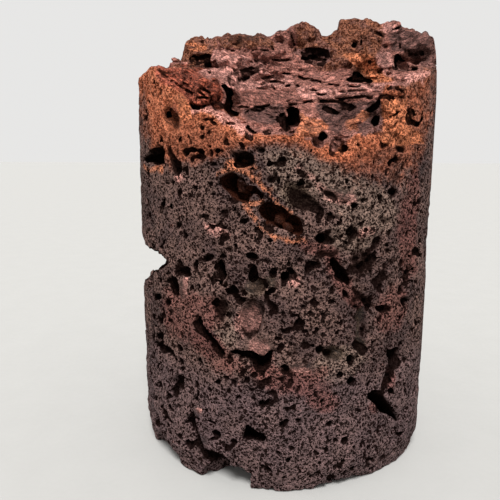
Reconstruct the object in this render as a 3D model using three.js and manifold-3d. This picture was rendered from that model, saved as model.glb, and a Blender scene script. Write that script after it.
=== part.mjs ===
// A standing column of scoria, the porous lava, 150 mm across and about 217 mm tall.
// Its side is ground to a rough cylinder, and its top is broken open into a scoop at the front.
// Units are millimetres. +Z is up, -Y is the front and the column's axis is the Z axis.
// A place on the side is given by its turn, in degrees from the front towards +X, and its height.
import * as THREE from "three";
import { ImprovedNoise } from "three/addons/math/ImprovedNoise.js";
import { mergeVertices } from "three/addons/utils/BufferGeometryUtils.js";
import Module from "manifold-3d";

const RADIUS = 75;
const RAW_HEIGHT = 240;
const TOP_HEIGHT = 206;
const SHOULDER_HEIGHT = 189;
const SIDE_COLUMNS = 48;
const SIDE_STEP = 12;
const CELL = 7.2;
const SCOOP_ROW = 4;
const OUTSIDE = 100;
const FOOT_BEVEL = 3.2;
const FOOT_BEVEL_HEIGHT = 9;
// One degree of turn, as a length along the side.
const DEGREE = (Math.PI / 180) * RADIUS;
// The least width and height together at which a pebble's faces are left whole, halved and cut in three.
const PEBBLE_FACES = [0, 18.5, 29];

const COLOUR = 0x4a3a36;
const ROUGHNESS = 0.95;

// How far the plan stands out from a true circle: a flatter right front, and blunt corners beside it.
const PLAN = [
  [-180, 0.4],
  [-150, -1.0],
  [-120, 0.9],
  [-90, -0.3],
  [-68, 0.6],
  [-40, 0.2],
  [0, 0.2],
  [24, -0.9],
  [44, -1.4],
  [64, 0.9],
  [82, 0.3],
  [110, -1.0],
  [145, 1.0],
  [180, 0.4],
];

// The lower edge of the scoop on the ground side: turn and height.
const SCOOP_EDGE = [
  [-58, 192],
  [-50, 187],
  [-46, 181],
  [-40, 178.5],
  [-35, 175],
  [-31, 168],
  [-25, 169],
  [-20, 165.5],
  [-15, 161],
  [-10, 157],
  [-4, 156],
  [2, 157.5],
  [7, 154.5],
  [12, 151.5],
  [17, 150.5],
  [20, 152],
  [23, 156.5],
  [30, 158],
  [36, 160],
  [41, 166],
  [44, 174],
  [50, 179],
  [57, 184],
  [64, 189],
  [72, 192],
];

// The scoop's wall behind that edge. Each column has its x, and how far back the wall lies (y) at
// heights (z) that climb from just over the edge to the top. A smaller y over a larger one is a ledge.
const SCOOP_WALL = [
  {
    x: -66,
    wall: [[192, -32], [198, -22], [206, -12], [220, 0]],
  },
  {
    x: -52,
    wall: [[181, -52], [187, -42], [191, -26], [200, -14], [212, 6]],
  },
  {
    x: -39,
    wall: [[170, -62], [179, -50], [187, -40], [190, -26], [200, -8], [212, 8]],
  },
  {
    x: -27,
    wall: [[168, -64], [178, -56], [187, -45], [189, -31], [199, -18], [212, 8]],
  },
  {
    x: -20,
    wall: [[163, -60], [168, -44], [180, -33], [187, -26], [190, -31], [201, -16], [213, 10]],
  },
  {
    x: -6,
    wall: [[158, -66], [165, -57], [167, -48], [178, -37], [186, -26], [188, -31], [202, -14], [214, 6]],
  },
  {
    x: 8,
    wall: [[157, -67], [166, -60], [172, -54], [174, -46], [179, -44], [186, -31], [200, -16], [217, 0]],
  },
  {
    x: 24,
    wall: [[155, -66], [166, -58], [174, -53], [176, -57], [183, -42], [187, -27], [190, -30], [216, -13]],
  },
  {
    x: 40,
    wall: [[162, -60], [171, -57], [175, -54], [177, -56], [185, -42], [188, -24], [192, -27], [216, -12]],
  },
  {
    x: 55,
    wall: [[178, -49], [183, -48], [188, -38], [190, -20], [196, -19], [210, -9]],
  },
  {
    x: 68,
    wall: [[191, -27], [194, -18], [200, -9], [212, -4]],
  },
];

// Knobs (up) and dips (down) of the broken top: x, y, spread and how far each rises.
const TOP_LUMPS = [
  { x: -47, y: 14, spread: 11, rise: 5 },
  { x: -24, y: 22, spread: 17, rise: 7 },
  { x: 8, y: 10, spread: 10, rise: 10 },
  { x: 21, y: 22, spread: 9, rise: -5 },
  { x: 35, y: 0, spread: 14, rise: 10 },
  { x: 55, y: 0, spread: 8, rise: 8 },
  { x: 58, y: 34, spread: 17, rise: -9 },
  { x: 0, y: 56, spread: 18, rise: -12 },
  { x: -44, y: 52, spread: 16, rise: -8 },
  { x: 28, y: 46, spread: 13, rise: 4 },
];

// Hollows that open on the side. deep is along the radius, and tilt turns the long way clockwise.
const SIDE_HOLLOWS = [
  // the twin cavern below the rust band
  { turn: -16.5, height: 137.5, wide: 13, tall: 8.5, deep: 18, tilt: 28 },
  { turn: -9.8, height: 133.5, wide: 11, tall: 7, deep: 17, tilt: 24 },
  { turn: -3.2, height: 126.2, wide: 14, tall: 9, deep: 15, tilt: 26 },
  { turn: 3.2, height: 122, wide: 9, tall: 8, deep: 14, tilt: 20 },
  // pockets of the rust band
  { turn: -49.5, height: 149.6, wide: 10, tall: 8.5, deep: 15, tilt: -10 },
  { turn: -57, height: 148, wide: 10, tall: 3.6, deep: 8, tilt: 0 },
  { turn: -40.5, height: 165, wide: 12.5, tall: 9.5, deep: 6.5, tilt: 32 },
  { turn: -42, height: 167, wide: 4.6, tall: 3.6, deep: 15, tilt: 0 },
  { turn: -38.5, height: 144.5, wide: 4.6, tall: 10, deep: 6, tilt: -20 },
  { turn: -13, height: 147.6, wide: 11, tall: 7.4, deep: 8, tilt: 4 },
  { turn: -7, height: 151.3, wide: 4, tall: 3, deep: 4, tilt: 0 },
  { turn: 38, height: 146, wide: 4.6, tall: 3.4, deep: 5, tilt: 0 },
  // the bowl right of the cavern, and pores round it
  { turn: 6.5, height: 132, wide: 19, tall: 12, deep: 4, tilt: 36 },
  { turn: 10.5, height: 128, wide: 5.4, tall: 4.6, deep: 5.5, tilt: 0 },
  { turn: 13.2, height: 115.2, wide: 5.4, tall: 5.4, deep: 12, tilt: 20 },
  { turn: 23.5, height: 117, wide: 5.6, tall: 6, deep: 6, tilt: 0 },
  { turn: 41, height: 133.5, wide: 8, tall: 5, deep: 5, tilt: 10 },
  { turn: 31.6, height: 104.4, wide: 6.4, tall: 5.6, deep: 6, tilt: 0 },
  { turn: 9, height: 104.2, wide: 4.8, tall: 4.6, deep: 5, tilt: 0 },
  // the middle of the front
  { turn: -20.8, height: 100.5, wide: 5, tall: 11.5, deep: 9, tilt: 0 },
  { turn: -16.4, height: 92.8, wide: 5.4, tall: 5, deep: 6, tilt: 0 },
  { turn: -9.4, height: 99.6, wide: 3.8, tall: 4.6, deep: 7, tilt: 0 },
  { turn: -7, height: 95.6, wide: 9.5, tall: 8, deep: 5, tilt: 0 },
  { turn: 0.8, height: 99.6, wide: 3.4, tall: 4.4, deep: 6, tilt: 0 },
  { turn: -9.8, height: 81.5, wide: 11, tall: 19, deep: 5.5, tilt: 8 },
  { turn: -21, height: 83, wide: 12, tall: 15, deep: 3.4, tilt: 0 },
  // the glazed pockets right of the middle
  { turn: 12.8, height: 67.4, wide: 5, tall: 4.6, deep: 8, tilt: 0 },
  { turn: 17, height: 65, wide: 10, tall: 8, deep: 5, tilt: 24 },
  { turn: 24.2, height: 61.6, wide: 4, tall: 5.2, deep: 9, tilt: -20 },
  { turn: 24.6, height: 51.4, wide: 4.2, tall: 3.8, deep: 5, tilt: 0 },
  { turn: 1.2, height: 60, wide: 4.6, tall: 2.4, deep: 5, tilt: 0 },
  { turn: 28.4, height: 77, wide: 5, tall: 19, deep: 6, tilt: -4 },
  { turn: 27.5, height: 68, wide: 9, tall: 7, deep: 5, tilt: 30 },
  // the left side below the notch
  { turn: -42.6, height: 90, wide: 9, tall: 11, deep: 13, tilt: -12 },
  { turn: -52, height: 82.6, wide: 9, tall: 3.4, deep: 6, tilt: -14 },
  { turn: -36.5, height: 97.6, wide: 6, tall: 4.6, deep: 6, tilt: 0 },
  { turn: -53.5, height: 56, wide: 12, tall: 7, deep: 7, tilt: 6 },
  { turn: -44.5, height: 57, wide: 9, tall: 5, deep: 6, tilt: 12 },
  { turn: -29.2, height: 58, wide: 5, tall: 5, deep: 5, tilt: 0 },
  { turn: -40, height: 44, wide: 11, tall: 8, deep: 5, tilt: -30 },
  { turn: -43.5, height: 37.4, wide: 8, tall: 6, deep: 6, tilt: 0 },
  { turn: -31.6, height: 38, wide: 4.8, tall: 4.8, deep: 5, tilt: 0 },
  { turn: -34, height: 26.5, wide: 5, tall: 9, deep: 5, tilt: -24 },
  { turn: -30.4, height: 19, wide: 4.6, tall: 11, deep: 5, tilt: -12 },
  { turn: -56, height: 17, wide: 9, tall: 8, deep: 6, tilt: -20 },
  // the broken hollow on the right edge
  { turn: 52.5, height: 95.5, wide: 10, tall: 7, deep: 5, tilt: -16 },
  { turn: 48, height: 88.4, wide: 8, tall: 6.4, deep: 7, tilt: -24 },
  { turn: 54, height: 26, wide: 4.4, tall: 4.4, deep: 5, tilt: 0 },
  // the far side
  { turn: 92, height: 128, wide: 15, tall: 9, deep: 11, tilt: 24 },
  { turn: 104, height: 62, wide: 7, tall: 16, deep: 9, tilt: 12 },
  { turn: 128, height: 158, wide: 13, tall: 8, deep: 10, tilt: -18 },
  { turn: 139, height: 38, wide: 10, tall: 8, deep: 8, tilt: 30 },
  { turn: 150, height: 122, wide: 12, tall: 10, deep: 10, tilt: -30 },
  { turn: 167, height: 74, wide: 14, tall: 8, deep: 11, tilt: 22 },
  { turn: -158, height: 106, wide: 17, tall: 10, deep: 13, tilt: -34 },
  { turn: -152, height: 34, wide: 8, tall: 7, deep: 7, tilt: 0 },
  { turn: -137, height: 166, wide: 12, tall: 8, deep: 8, tilt: 14 },
  { turn: -128, height: 72, wide: 9, tall: 13, deep: 8, tilt: -20 },
  { turn: -112, height: 132, wide: 11, tall: 8, deep: 9, tilt: 40 },
];

// Caves in the scoop's wall and under the knobs of the top, each at a point of that wall.
const WALL_CAVES = [
  { at: [2.5, -66, 162.5], wide: 8.5, tall: 12, deep: 24 },
  { at: [14, -68, 155], wide: 7.5, tall: 7, deep: 12 },
  { at: [22.5, -67, 154], wide: 7.5, tall: 7, deep: 12 },
  { at: [37, -60, 164.5], wide: 6.5, tall: 9.5, deep: 16 },
  { at: [27, -58, 167], wide: 8, tall: 10, deep: 9 },
  { at: [54, -52, 166], wide: 12, tall: 8, deep: 12 },
  { at: [61, -21, 194], wide: 17, tall: 9, deep: 24 },
  { at: [38, -28, 188], wide: 16, tall: 7, deep: 20 },
  { at: [14, -24, 196], wide: 14, tall: 8, deep: 12 },
  { at: [-34, -24, 192], wide: 14, tall: 10, deep: 26 },
  { at: [-22, -46, 172], wide: 6.5, tall: 15, deep: 16 },
  { at: [-36, -61, 170], wide: 10, tall: 4.5, deep: 10 },
  { at: [34, -8, 206], wide: 9, tall: 7, deep: 9 },
];

// Lumps that stand out of the scoop's wall and its rim, each at its middle.
const WALL_LUMPS = [
  { at: [-25, -19, 192], wide: 25, tall: 15, deep: 26 },
  { at: [-7, -14, 195], wide: 19, tall: 17, deep: 26 },
  { at: [8.5, -62, 158.5], wide: 10, tall: 13, deep: 13 },
  { at: [47, -48, 166], wide: 13, tall: 17, deep: 12 },
  { at: [-49, 14, 205], wide: 17, tall: 11, deep: 30 },
  { at: [28, -9, 206], wide: 21, tall: 13, deep: 20 },
];

// The notch cut across the left side. Its tip line passes a point, turned about Z and dipping to the
// back, and its section is drawn from that tip as distances to the right and up.
const NOTCH = {
  at: [-60.5, -13, 92.6],
  turn: 12,
  dip: 11,
  length: 104,
  section: [
    [0.6, 0],
    [-4, 6],
    [-11, 9],
    [-14.5, 16],
    [-30, 27],
    [-30, -22],
    [-12, -10],
    [-9.5, -5.5],
    [-4, -3],
  ],
};

// Bites out of the column's foot: arches and chips.
const BITES = [
  { at: [-25, -70, 3], size: [25, 34, 17], turn: -18 },
  { at: [-30, -66, 12.5], size: [15, 24, 9], turn: -22 },
  { at: [32, -72, 0], size: [54, 22, 11], turn: 22 },
  { at: [-62, -46, 2], size: [30, 26, 15], turn: -54 },
  { at: [58, 48, 1], size: [44, 20, 12], turn: 130 },
  { at: [-30, 72, 0], size: [50, 22, 14], turn: -158 },
];

// Cracks: a line of turns and heights with its width at each point, cut to a depth along the radius.
const CRACKS = [
  {
    deep: 13,
    line: [[-29.6, 80, 1.4], [-29.2, 75.6, 3.2], [-26.4, 71.6, 2.8], [-22.6, 68, 3.2], [-19.4, 64.6, 1.6]],
  },
  {
    deep: 15,
    line: [
      [-18, 65.8, 0.8],
      [-14.6, 65.4, 1.6],
      [-11, 64.8, 2.6],
      [-8.6, 62.4, 4],
      [-6, 62.4, 3],
      [-4, 66, 1.6],
      [-2, 69.4, 0.8],
    ],
  },
  {
    deep: 20,
    line: [
      [46.6, 61.4, 7],
      [45.4, 55, 6.4],
      [43.6, 48, 5.6],
      [40.6, 42.6, 5],
      [38.4, 38.6, 6.4],
      [42, 33.6, 6],
      [46.4, 29, 3],
      [50.6, 22, 1],
    ],
  },
  { deep: 9, line: [[33.4, 44, 1.6], [36, 41.4, 4.4], [38.6, 39.4, 5]] },
  { deep: 9, line: [[16.8, 106, 1.2], [19, 102, 3], [21.6, 97.6, 2.6], [23, 94.8, 0.8]] },
  { deep: 6, line: [[25.4, 92.4, 0.8], [28.4, 88.4, 1.4], [31, 84.8, 1.8]] },
  { deep: 6, line: [[33, 83.2, 0.8], [38, 81.6, 2], [42, 80.4, 0.8]] },
  { deep: 6, line: [[49, 85, 0.8], [51.4, 83.4, 1.8], [53.4, 81.8, 0.8]] },
  { deep: 10, line: [[112, 150, 1.2], [117, 143, 3.4], [118, 134, 3], [122, 127, 1.4]] },
  { deep: 12, line: [[-142, 92, 1.2], [-137, 88, 3.6], [-131, 87, 3], [-126, 80, 4], [-124, 74, 1.2]] },
];

// A pit broken out with straight sides: its corners as turn and height.
const SQUARE_PIT = {
  deep: 8,
  corners: [[-12.6, 24], [-11.9, 32.6], [-10.3, 32], [-7.6, 29.4], [-5, 29], [-5.6, 24.6]],
};

const wasm = await Module();
wasm.setup();
const noise = new ImprovedNoise();

// Smooth noise of about -1 to 1 at a point, with a given wavelength. lane picks an independent field.
function ripple(x, y, z, wavelength, lane = 0) {
  return noise.noise(x / wavelength + 31.7 * lane + 0.37, y / wavelength + 0.61, z / wavelength + 0.23) * 1.5;
}

// Reads a line given as [place, value] pairs, straight between them and level past its ends.
function along(points, place) {
  if (place <= points[0][0]) return points[0][1];
  for (let i = 1; i < points.length; i++) {
    const [here, value] = points[i];
    const [before, last] = points[i - 1];
    if (place <= here) return THREE.MathUtils.lerp(last, value, (place - before) / (here - before));
  }
  return points[points.length - 1][1];
}

// A closed three.js geometry as a solid.
function solidOf(geometry) {
  const bare = geometry.clone();
  bare.deleteAttribute("normal");
  bare.deleteAttribute("uv");
  const merged = mergeVertices(bare, 1e-3);
  const mesh = new wasm.Mesh({
    numProp: 3,
    vertProperties: merged.attributes.position.array,
    triVerts: new Uint32Array(merged.index.array),
  });
  return new wasm.Manifold(mesh);
}

// Moves every vertex of a geometry by a function that changes the point it is given.
function reshape(geometry, change) {
  const position = geometry.attributes.position;
  const point = new THREE.Vector3();
  for (let i = 0; i < position.count; i++) {
    point.fromBufferAttribute(position, i);
    change(point);
    position.setXYZ(i, point.x, point.y, point.z);
  }
  return geometry;
}

// The matrix that takes local axes (right along the side, inwards, up) to a place on the side.
function placeOnSide(turn, height) {
  const angle = THREE.MathUtils.degToRad(turn);
  return new THREE.Matrix4()
    .makeRotationZ(angle)
    .setPosition(RADIUS * Math.sin(angle), -RADIUS * Math.cos(angle), height);
}

// The raw column: ground smooth, with a slow waviness, a bevelled foot and a plan that is not quite round.
function rawColumn() {
  const rows = Math.round(RAW_HEIGHT / SIDE_STEP);
  const column = new THREE.CylinderGeometry(RADIUS, RADIUS, RAW_HEIGHT, SIDE_COLUMNS, rows);
  column.rotateX(Math.PI / 2).translate(0, 0, RAW_HEIGHT / 2);
  return reshape(column, (p) => {
    const reach = Math.hypot(p.x, p.y);
    if (reach < 1) return;
    const turn = THREE.MathUtils.radToDeg(Math.atan2(p.x, -p.y));
    const bevel = FOOT_BEVEL * Math.max(0, 1 - p.z / FOOT_BEVEL_HEIGHT) ** 2;
    const wave = 0.9 * ripple(p.x, p.y, p.z, 34) + 0.5 * ripple(p.x, p.y, p.z, 15, 1);
    const scale = (RADIUS + along(PLAN, turn) + wave - bevel) / RADIUS;
    p.x *= scale;
    p.y *= scale;
  });
}

// Height of the broken top over a point of the plan.
function topHeight(x, y) {
  let height = TOP_HEIGHT;
  for (const lump of TOP_LUMPS) {
    const away = (x - lump.x) ** 2 + (y - lump.y) ** 2;
    height += lump.rise * Math.exp(-away / lump.spread ** 2);
  }
  height += 3.4 * ripple(x, y, 0, 17, 2) + 2.2 * ripple(x, y, 0, 8, 3);
  const shelf = SHOULDER_HEIGHT + 2 * ripple(x, y, 0, 12, 4);
  const onShelf = 1 - THREE.MathUtils.smoothstep(x + 0.19 * y + 2 * ripple(y, 0, 0, 11, 5), -58, -52);
  return THREE.MathUtils.lerp(height, shelf, onShelf);
}

// Everything over the broken top.
function sky() {
  const side = 2 * OUTSIDE;
  const cells = Math.round(side / CELL);
  const block = new THREE.BoxGeometry(side, side, 80, cells, cells, 1);
  return reshape(block, (p) => {
    p.z = p.z > 0 ? RAW_HEIGHT + 40 : topHeight(p.x, p.y);
  });
}

// How far back the scoop's wall lies at a point of the front view.
function scoopDepth(x, z) {
  const turn = THREE.MathUtils.radToDeg(Math.asin(THREE.MathUtils.clamp(x / RADIUS, -1, 1)));
  const edgeHeight = along(SCOOP_EDGE, turn);
  const edgeDepth = -Math.sqrt(Math.max(0, RADIUS ** 2 - x ** 2));
  const rim = [[edgeHeight - 8, edgeDepth - 22], [edgeHeight, edgeDepth]];
  const behind = SCOOP_WALL.map(({ x: at, wall }) => {
    const above = wall.filter(([high]) => high > edgeHeight + 1);
    return [at, along([...rim, ...above], z)];
  });
  const ledges = 1.5 * ripple(x / 3, z, 0, 4.6, 6) + 1.4 * ripple(x, z, 0, 11, 7);
  return along(behind, x) + (z > edgeHeight + 2 ? ledges : 0);
}

// What was broken out of the upper front: a block whose back face is the scoop's wall.
function scoop() {
  const low = 132;
  const high = 256;
  const wide = 168;
  const columns = Math.round(wide / CELL);
  const rows = Math.round((high - low) / SCOOP_ROW);
  const block = new THREE.BoxGeometry(wide, 2, high - low, columns, 1, rows);
  block.translate(0, 0, (low + high) / 2);
  return reshape(block, (p) => {
    p.y = p.y > 0 ? scoopDepth(p.x, p.z) : -OUTSIDE - 40;
  });
}

// A lump of the given size with an uneven skin, about the origin. A larger one has more faces.
function pebble(wide, deep, tall, seed) {
  const ball = new THREE.IcosahedronGeometry(1, PEBBLE_FACES.findLastIndex((least) => wide + tall >= least));
  return reshape(ball, (p) => {
    const swell = 1 + 0.24 * ripple(p.x + 7 * seed, p.y, p.z, 0.9, 8);
    p.set((p.x * swell * wide) / 2, (p.y * swell * deep) / 2, (p.z * swell * tall) / 2);
  });
}

// A hollow on the side: its mouth is wide by tall, and it reaches deep along the radius.
function sideHollow({ turn, height, wide, tall, deep, tilt }, index) {
  return pebble(wide, 2 * deep, tall, index)
    .rotateY(THREE.MathUtils.degToRad(tilt))
    .applyMatrix4(placeOnSide(turn, height));
}

// A cave in the scoop's wall, or a lump on it.
function wallPebble({ at, wide, tall, deep }, index) {
  return pebble(wide, deep, tall, index + 0.5).translate(...at);
}

// The notch, as a prism along its tip line.
function notch() {
  const { at, turn, dip, length, section } = NOTCH;
  const shape = new THREE.Shape(section.map(([right, up]) => new THREE.Vector2(right, up)));
  const steps = Math.round(length / SIDE_STEP);
  const prism = new THREE.ExtrudeGeometry(shape, { depth: length, steps, bevelEnabled: false });
  prism.rotateX(Math.PI / 2).translate(0, length / 2, 0);
  return reshape(prism, (p) => {
    p.x += 2.2 * ripple(p.y, p.z, 0, 24, 9);
    p.z += 2.2 * ripple(p.y, p.x, 0, 21, 10);
  })
    .rotateX(THREE.MathUtils.degToRad(-dip))
    .rotateZ(THREE.MathUtils.degToRad(turn))
    .translate(...at);
}

// A bite out of the column, as a pebble turned about Z.
function bite({ at, size, turn }, index) {
  return pebble(...size, index + 0.25)
    .rotateZ(THREE.MathUtils.degToRad(turn))
    .translate(...at);
}

// The prism behind an outline drawn on the side, around the turn and height of its middle.
function sidePrism(outline, deep) {
  const turn = outline.reduce((sum, [t]) => sum + t, 0) / outline.length;
  const height = outline.reduce((sum, [, h]) => sum + h, 0) / outline.length;
  const shape = new THREE.Shape(outline.map(([t, h]) => new THREE.Vector2((t - turn) * DEGREE, h - height)));
  const proud = 12;
  return new THREE.ExtrudeGeometry(shape, { depth: deep + proud, bevelEnabled: false })
    .rotateX(Math.PI / 2)
    .translate(0, deep, 0)
    .applyMatrix4(placeOnSide(turn, height));
}

// A crack's outline: down one side of its line and up the other.
function crackOutline(line) {
  const sides = line.map(([turn, height, width], i) => {
    const [t0, h0] = line[Math.max(0, i - 1)];
    const [t1, h1] = line[Math.min(line.length - 1, i + 1)];
    const across = new THREE.Vector2(h1 - h0, -(t1 - t0) * DEGREE).normalize().multiplyScalar(width / 2);
    return [
      [turn + across.x / DEGREE, height + across.y],
      [turn - across.x / DEGREE, height - across.y],
    ];
  });
  return [...sides.map(([one]) => one), ...sides.map(([, other]) => other).reverse()];
}

function carvedRock() {
  const cutters = [
    ...SIDE_HOLLOWS.map(sideHollow),
    ...WALL_CAVES.map(wallPebble),
    notch(),
    ...BITES.map(bite),
    ...CRACKS.map(({ line, deep }) => sidePrism(crackOutline(line), deep)),
    sidePrism(SQUARE_PIT.corners, SQUARE_PIT.deep),
  ];
  let rock = solidOf(rawColumn());
  for (const broken of [sky(), scoop()]) rock = rock.subtract(solidOf(broken));
  for (const lump of WALL_LUMPS.map(wallPebble)) rock = rock.add(solidOf(lump));
  for (const cutter of cutters) rock = rock.subtract(solidOf(cutter));
  // A chip that a cut has freed is dropped, so that the rock is one stone.
  return rock.decompose().reduce((most, body) => (body.volume() > most.volume() ? body : most));
}

// A solid as a three.js geometry, with flat faces.
function geometryOf(solid) {
  const { numProp, numVert, vertProperties, triVerts } = solid.getMesh();
  const points = new Float32Array(numVert * 3);
  for (let i = 0; i < numVert; i++) points.set(vertProperties.subarray(i * numProp, i * numProp + 3), i * 3);
  const geometry = new THREE.BufferGeometry();
  geometry.setAttribute("position", new THREE.BufferAttribute(points, 3));
  geometry.setIndex(new THREE.BufferAttribute(triVerts, 1));
  const flat = geometry.toNonIndexed();
  flat.computeVertexNormals();
  return flat;
}

const lava = new THREE.MeshStandardMaterial({ color: COLOUR, roughness: ROUGHNESS, metalness: 0 });
const rock = new THREE.Mesh(geometryOf(carvedRock()), lava);
rock.name = "scoria_rock";

const part = new THREE.Group();
part.add(rock);

export default part;
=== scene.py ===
"""The scoria rock's looks: its fine surface, colours and light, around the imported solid.

The stone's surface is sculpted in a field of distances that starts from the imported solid: lumps are joined
on, folds and grain are raised, pockets, grooves and pores are cut in. The mesh drawn from it replaces the
solid. Objects are in metres. The field and the named places are in millimetres: a place on the side is given
by its turn, in degrees from the front (-Y) towards +X, and its height.
"""
import math

import bpy
import numpy as np
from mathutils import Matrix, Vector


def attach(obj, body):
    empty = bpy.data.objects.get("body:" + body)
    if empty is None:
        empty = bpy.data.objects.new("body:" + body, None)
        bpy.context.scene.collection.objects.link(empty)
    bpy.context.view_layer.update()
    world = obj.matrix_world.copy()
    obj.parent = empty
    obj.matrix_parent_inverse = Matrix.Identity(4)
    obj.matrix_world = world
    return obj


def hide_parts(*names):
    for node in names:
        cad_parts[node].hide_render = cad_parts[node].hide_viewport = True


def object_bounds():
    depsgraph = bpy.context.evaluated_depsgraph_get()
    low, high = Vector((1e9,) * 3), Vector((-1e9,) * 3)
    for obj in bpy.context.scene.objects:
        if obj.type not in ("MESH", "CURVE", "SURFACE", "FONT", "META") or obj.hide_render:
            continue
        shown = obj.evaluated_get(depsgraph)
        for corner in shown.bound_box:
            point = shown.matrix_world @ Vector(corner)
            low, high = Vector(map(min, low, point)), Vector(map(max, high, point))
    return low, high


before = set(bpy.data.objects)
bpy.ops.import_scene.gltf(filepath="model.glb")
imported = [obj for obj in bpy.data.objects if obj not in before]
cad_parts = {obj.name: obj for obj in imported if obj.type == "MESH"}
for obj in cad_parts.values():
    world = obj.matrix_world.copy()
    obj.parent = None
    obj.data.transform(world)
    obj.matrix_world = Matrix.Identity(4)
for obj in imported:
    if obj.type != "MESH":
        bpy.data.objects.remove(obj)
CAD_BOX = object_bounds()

import openvdb as vdb
from mathutils import Matrix, Vector

MM = 0.001
# In mm: the ground side's radius, a degree of turn along it, and a voxel of the field.
RADIUS = 75.0
DEGREE = math.radians(1) * RADIUS
VOXEL = 0.6
VOXELS_DEEP = 14
SEED = 735
TRIANGLES = 197_000

# The camera: its place, which way it looks, and its lens for a square picture.
CAMERA_AT = (0.0, -293.5, 149.0)
CAMERA_YAW = 3.51
CAMERA_PITCH = 9.88
CAMERA_ROLL = 0.13
FOCAL_PIXELS = 540
FRAME_PIXELS = 500
SENSOR = 36.0

# Two corners of the space round the broken top, the same for the part of it that shows in the picture, the
# size of a pixel there in mm, and the depth of its slits.
TOP_BOX = ((-80, -80, 150), (80, 80, 225))
SEEN_BOX = ((-64, -77, 150), (77, 22, 218))
PIXEL = 0.48
SLIT_DEPTH = 1.6

# The notch across the left side: the height of its middle at y = 0, and how much that falls with y.
NOTCH_HEIGHT = 90
NOTCH_DIP = 0.19

# The layers of the hollow's wall rise towards both sides of this x, by this times the distance squared.
BOW_MIDDLE = 15
BOW = 0.004
LAYER_HEIGHT = 4.6

# In mm: how far from the surface the field is worked, how far the stone may pass the ground side's radius,
# and how far it keeps inside the solid's box.
NEAR = 7
SIDE_MOST = 0.6
INSIDE_BOX = 0.2

# The lower edge of the broken top on the ground side: turn and height.
BROKEN_EDGE = [
    (-75, 190), (-65, 186), (-58, 188), (-50, 187), (-46, 181), (-40, 178), (-35, 175), (-31, 168),
    (-25, 169), (-20, 165), (-15, 161), (-10, 157), (-4, 156), (2, 157), (7, 154), (12, 151), (17, 150),
    (20, 152), (23, 156), (30, 158), (36, 160), (41, 166), (44, 174), (50, 179), (57, 184), (64, 190),
]

# The skyline of the broken top in the picture: pixels across and down.
SKYLINE = [
    (139, 80), (141, 77), (143, 75), (150, 68), (156, 63), (160, 62), (163, 64), (166, 66), (169, 66),
    (170, 62), (175, 60), (178, 61), (181, 63), (182.5, 60), (183, 53), (184, 50), (185, 45), (189, 41.5),
    (192, 39.5), (196, 37.5), (199, 36), (203, 37), (205, 40), (208, 38), (210, 40), (213, 38.5),
    (220, 37.5), (224, 38), (227, 36), (240, 35.5), (249, 34.5), (256, 35), (262, 37), (270, 38), (274, 36),
    (276, 33), (279, 30), (287, 28.5), (297, 26), (302, 24), (306, 23), (308, 25), (312, 28), (318, 30),
    (320, 33), (322, 37), (328, 36.5), (331, 35), (333, 32), (338, 30), (339, 24), (342, 22.5), (350, 20.5),
    (358, 20), (366, 18), (370, 18.5), (373, 21), (376, 23), (380, 24.5), (384, 24), (388, 23), (393, 21.5),
    (396, 22), (399, 23.5), (401, 26), (404, 28.5), (408, 30), (415, 31), (418, 33), (421, 35), (425, 34),
    (428, 37), (430, 40), (434, 41), (436, 52), (436.5, 66), (438, 68), (439.5, 72), (440, 80),
]

# Lumps of the broken top and of the hollow's wall: middle, and radii along x, y and z.
LUMPS = [
    ((-64.5, -17, 80), (6, 20, 6)), ((-50, 12, 203), (8, 12, 8)), ((-37, 4, 204), (8, 9, 7)),
    ((-22, 0, 204), (9, 8, 7)), ((-27, -16, 195), (8, 8, 6)), ((-17, -19, 194), (7, 7, 5)),
    ((-10, -18, 196), (6, 7, 5)), ((-13, 1, 204), (7, 8, 7)), ((-4, 0, 207), (6, 7, 7)),
    ((6, -2, 210), (8, 8, 7)), ((12, -4, 206), (6, 7, 6)), ((24, -6, 206), (7, 8, 6)),
    ((32, -5, 211), (7, 8, 7)), ((40, -3, 212), (7, 8, 7)), ((48, -8, 208), (6, 7, 7)),
    ((55, -5, 211), (6, 7, 7)), ((60, -5, 211), (6, 7, 6.5)), ((62, -4, 206), (7, 8, 7)),
    ((69, -7, 201), (6, 9, 7)), ((38, -30, 192), (5, 8, 9)), ((45, -58, 168), (6, 6, 8)),
    ((52, -53, 163), (6, 5, 5)), ((9, -64, 159), (5, 6, 6)), ((-40, -52, 178), (7, 5, 5)),
    ((-33, -58, 174), (5, 5, 4)),
]

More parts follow.
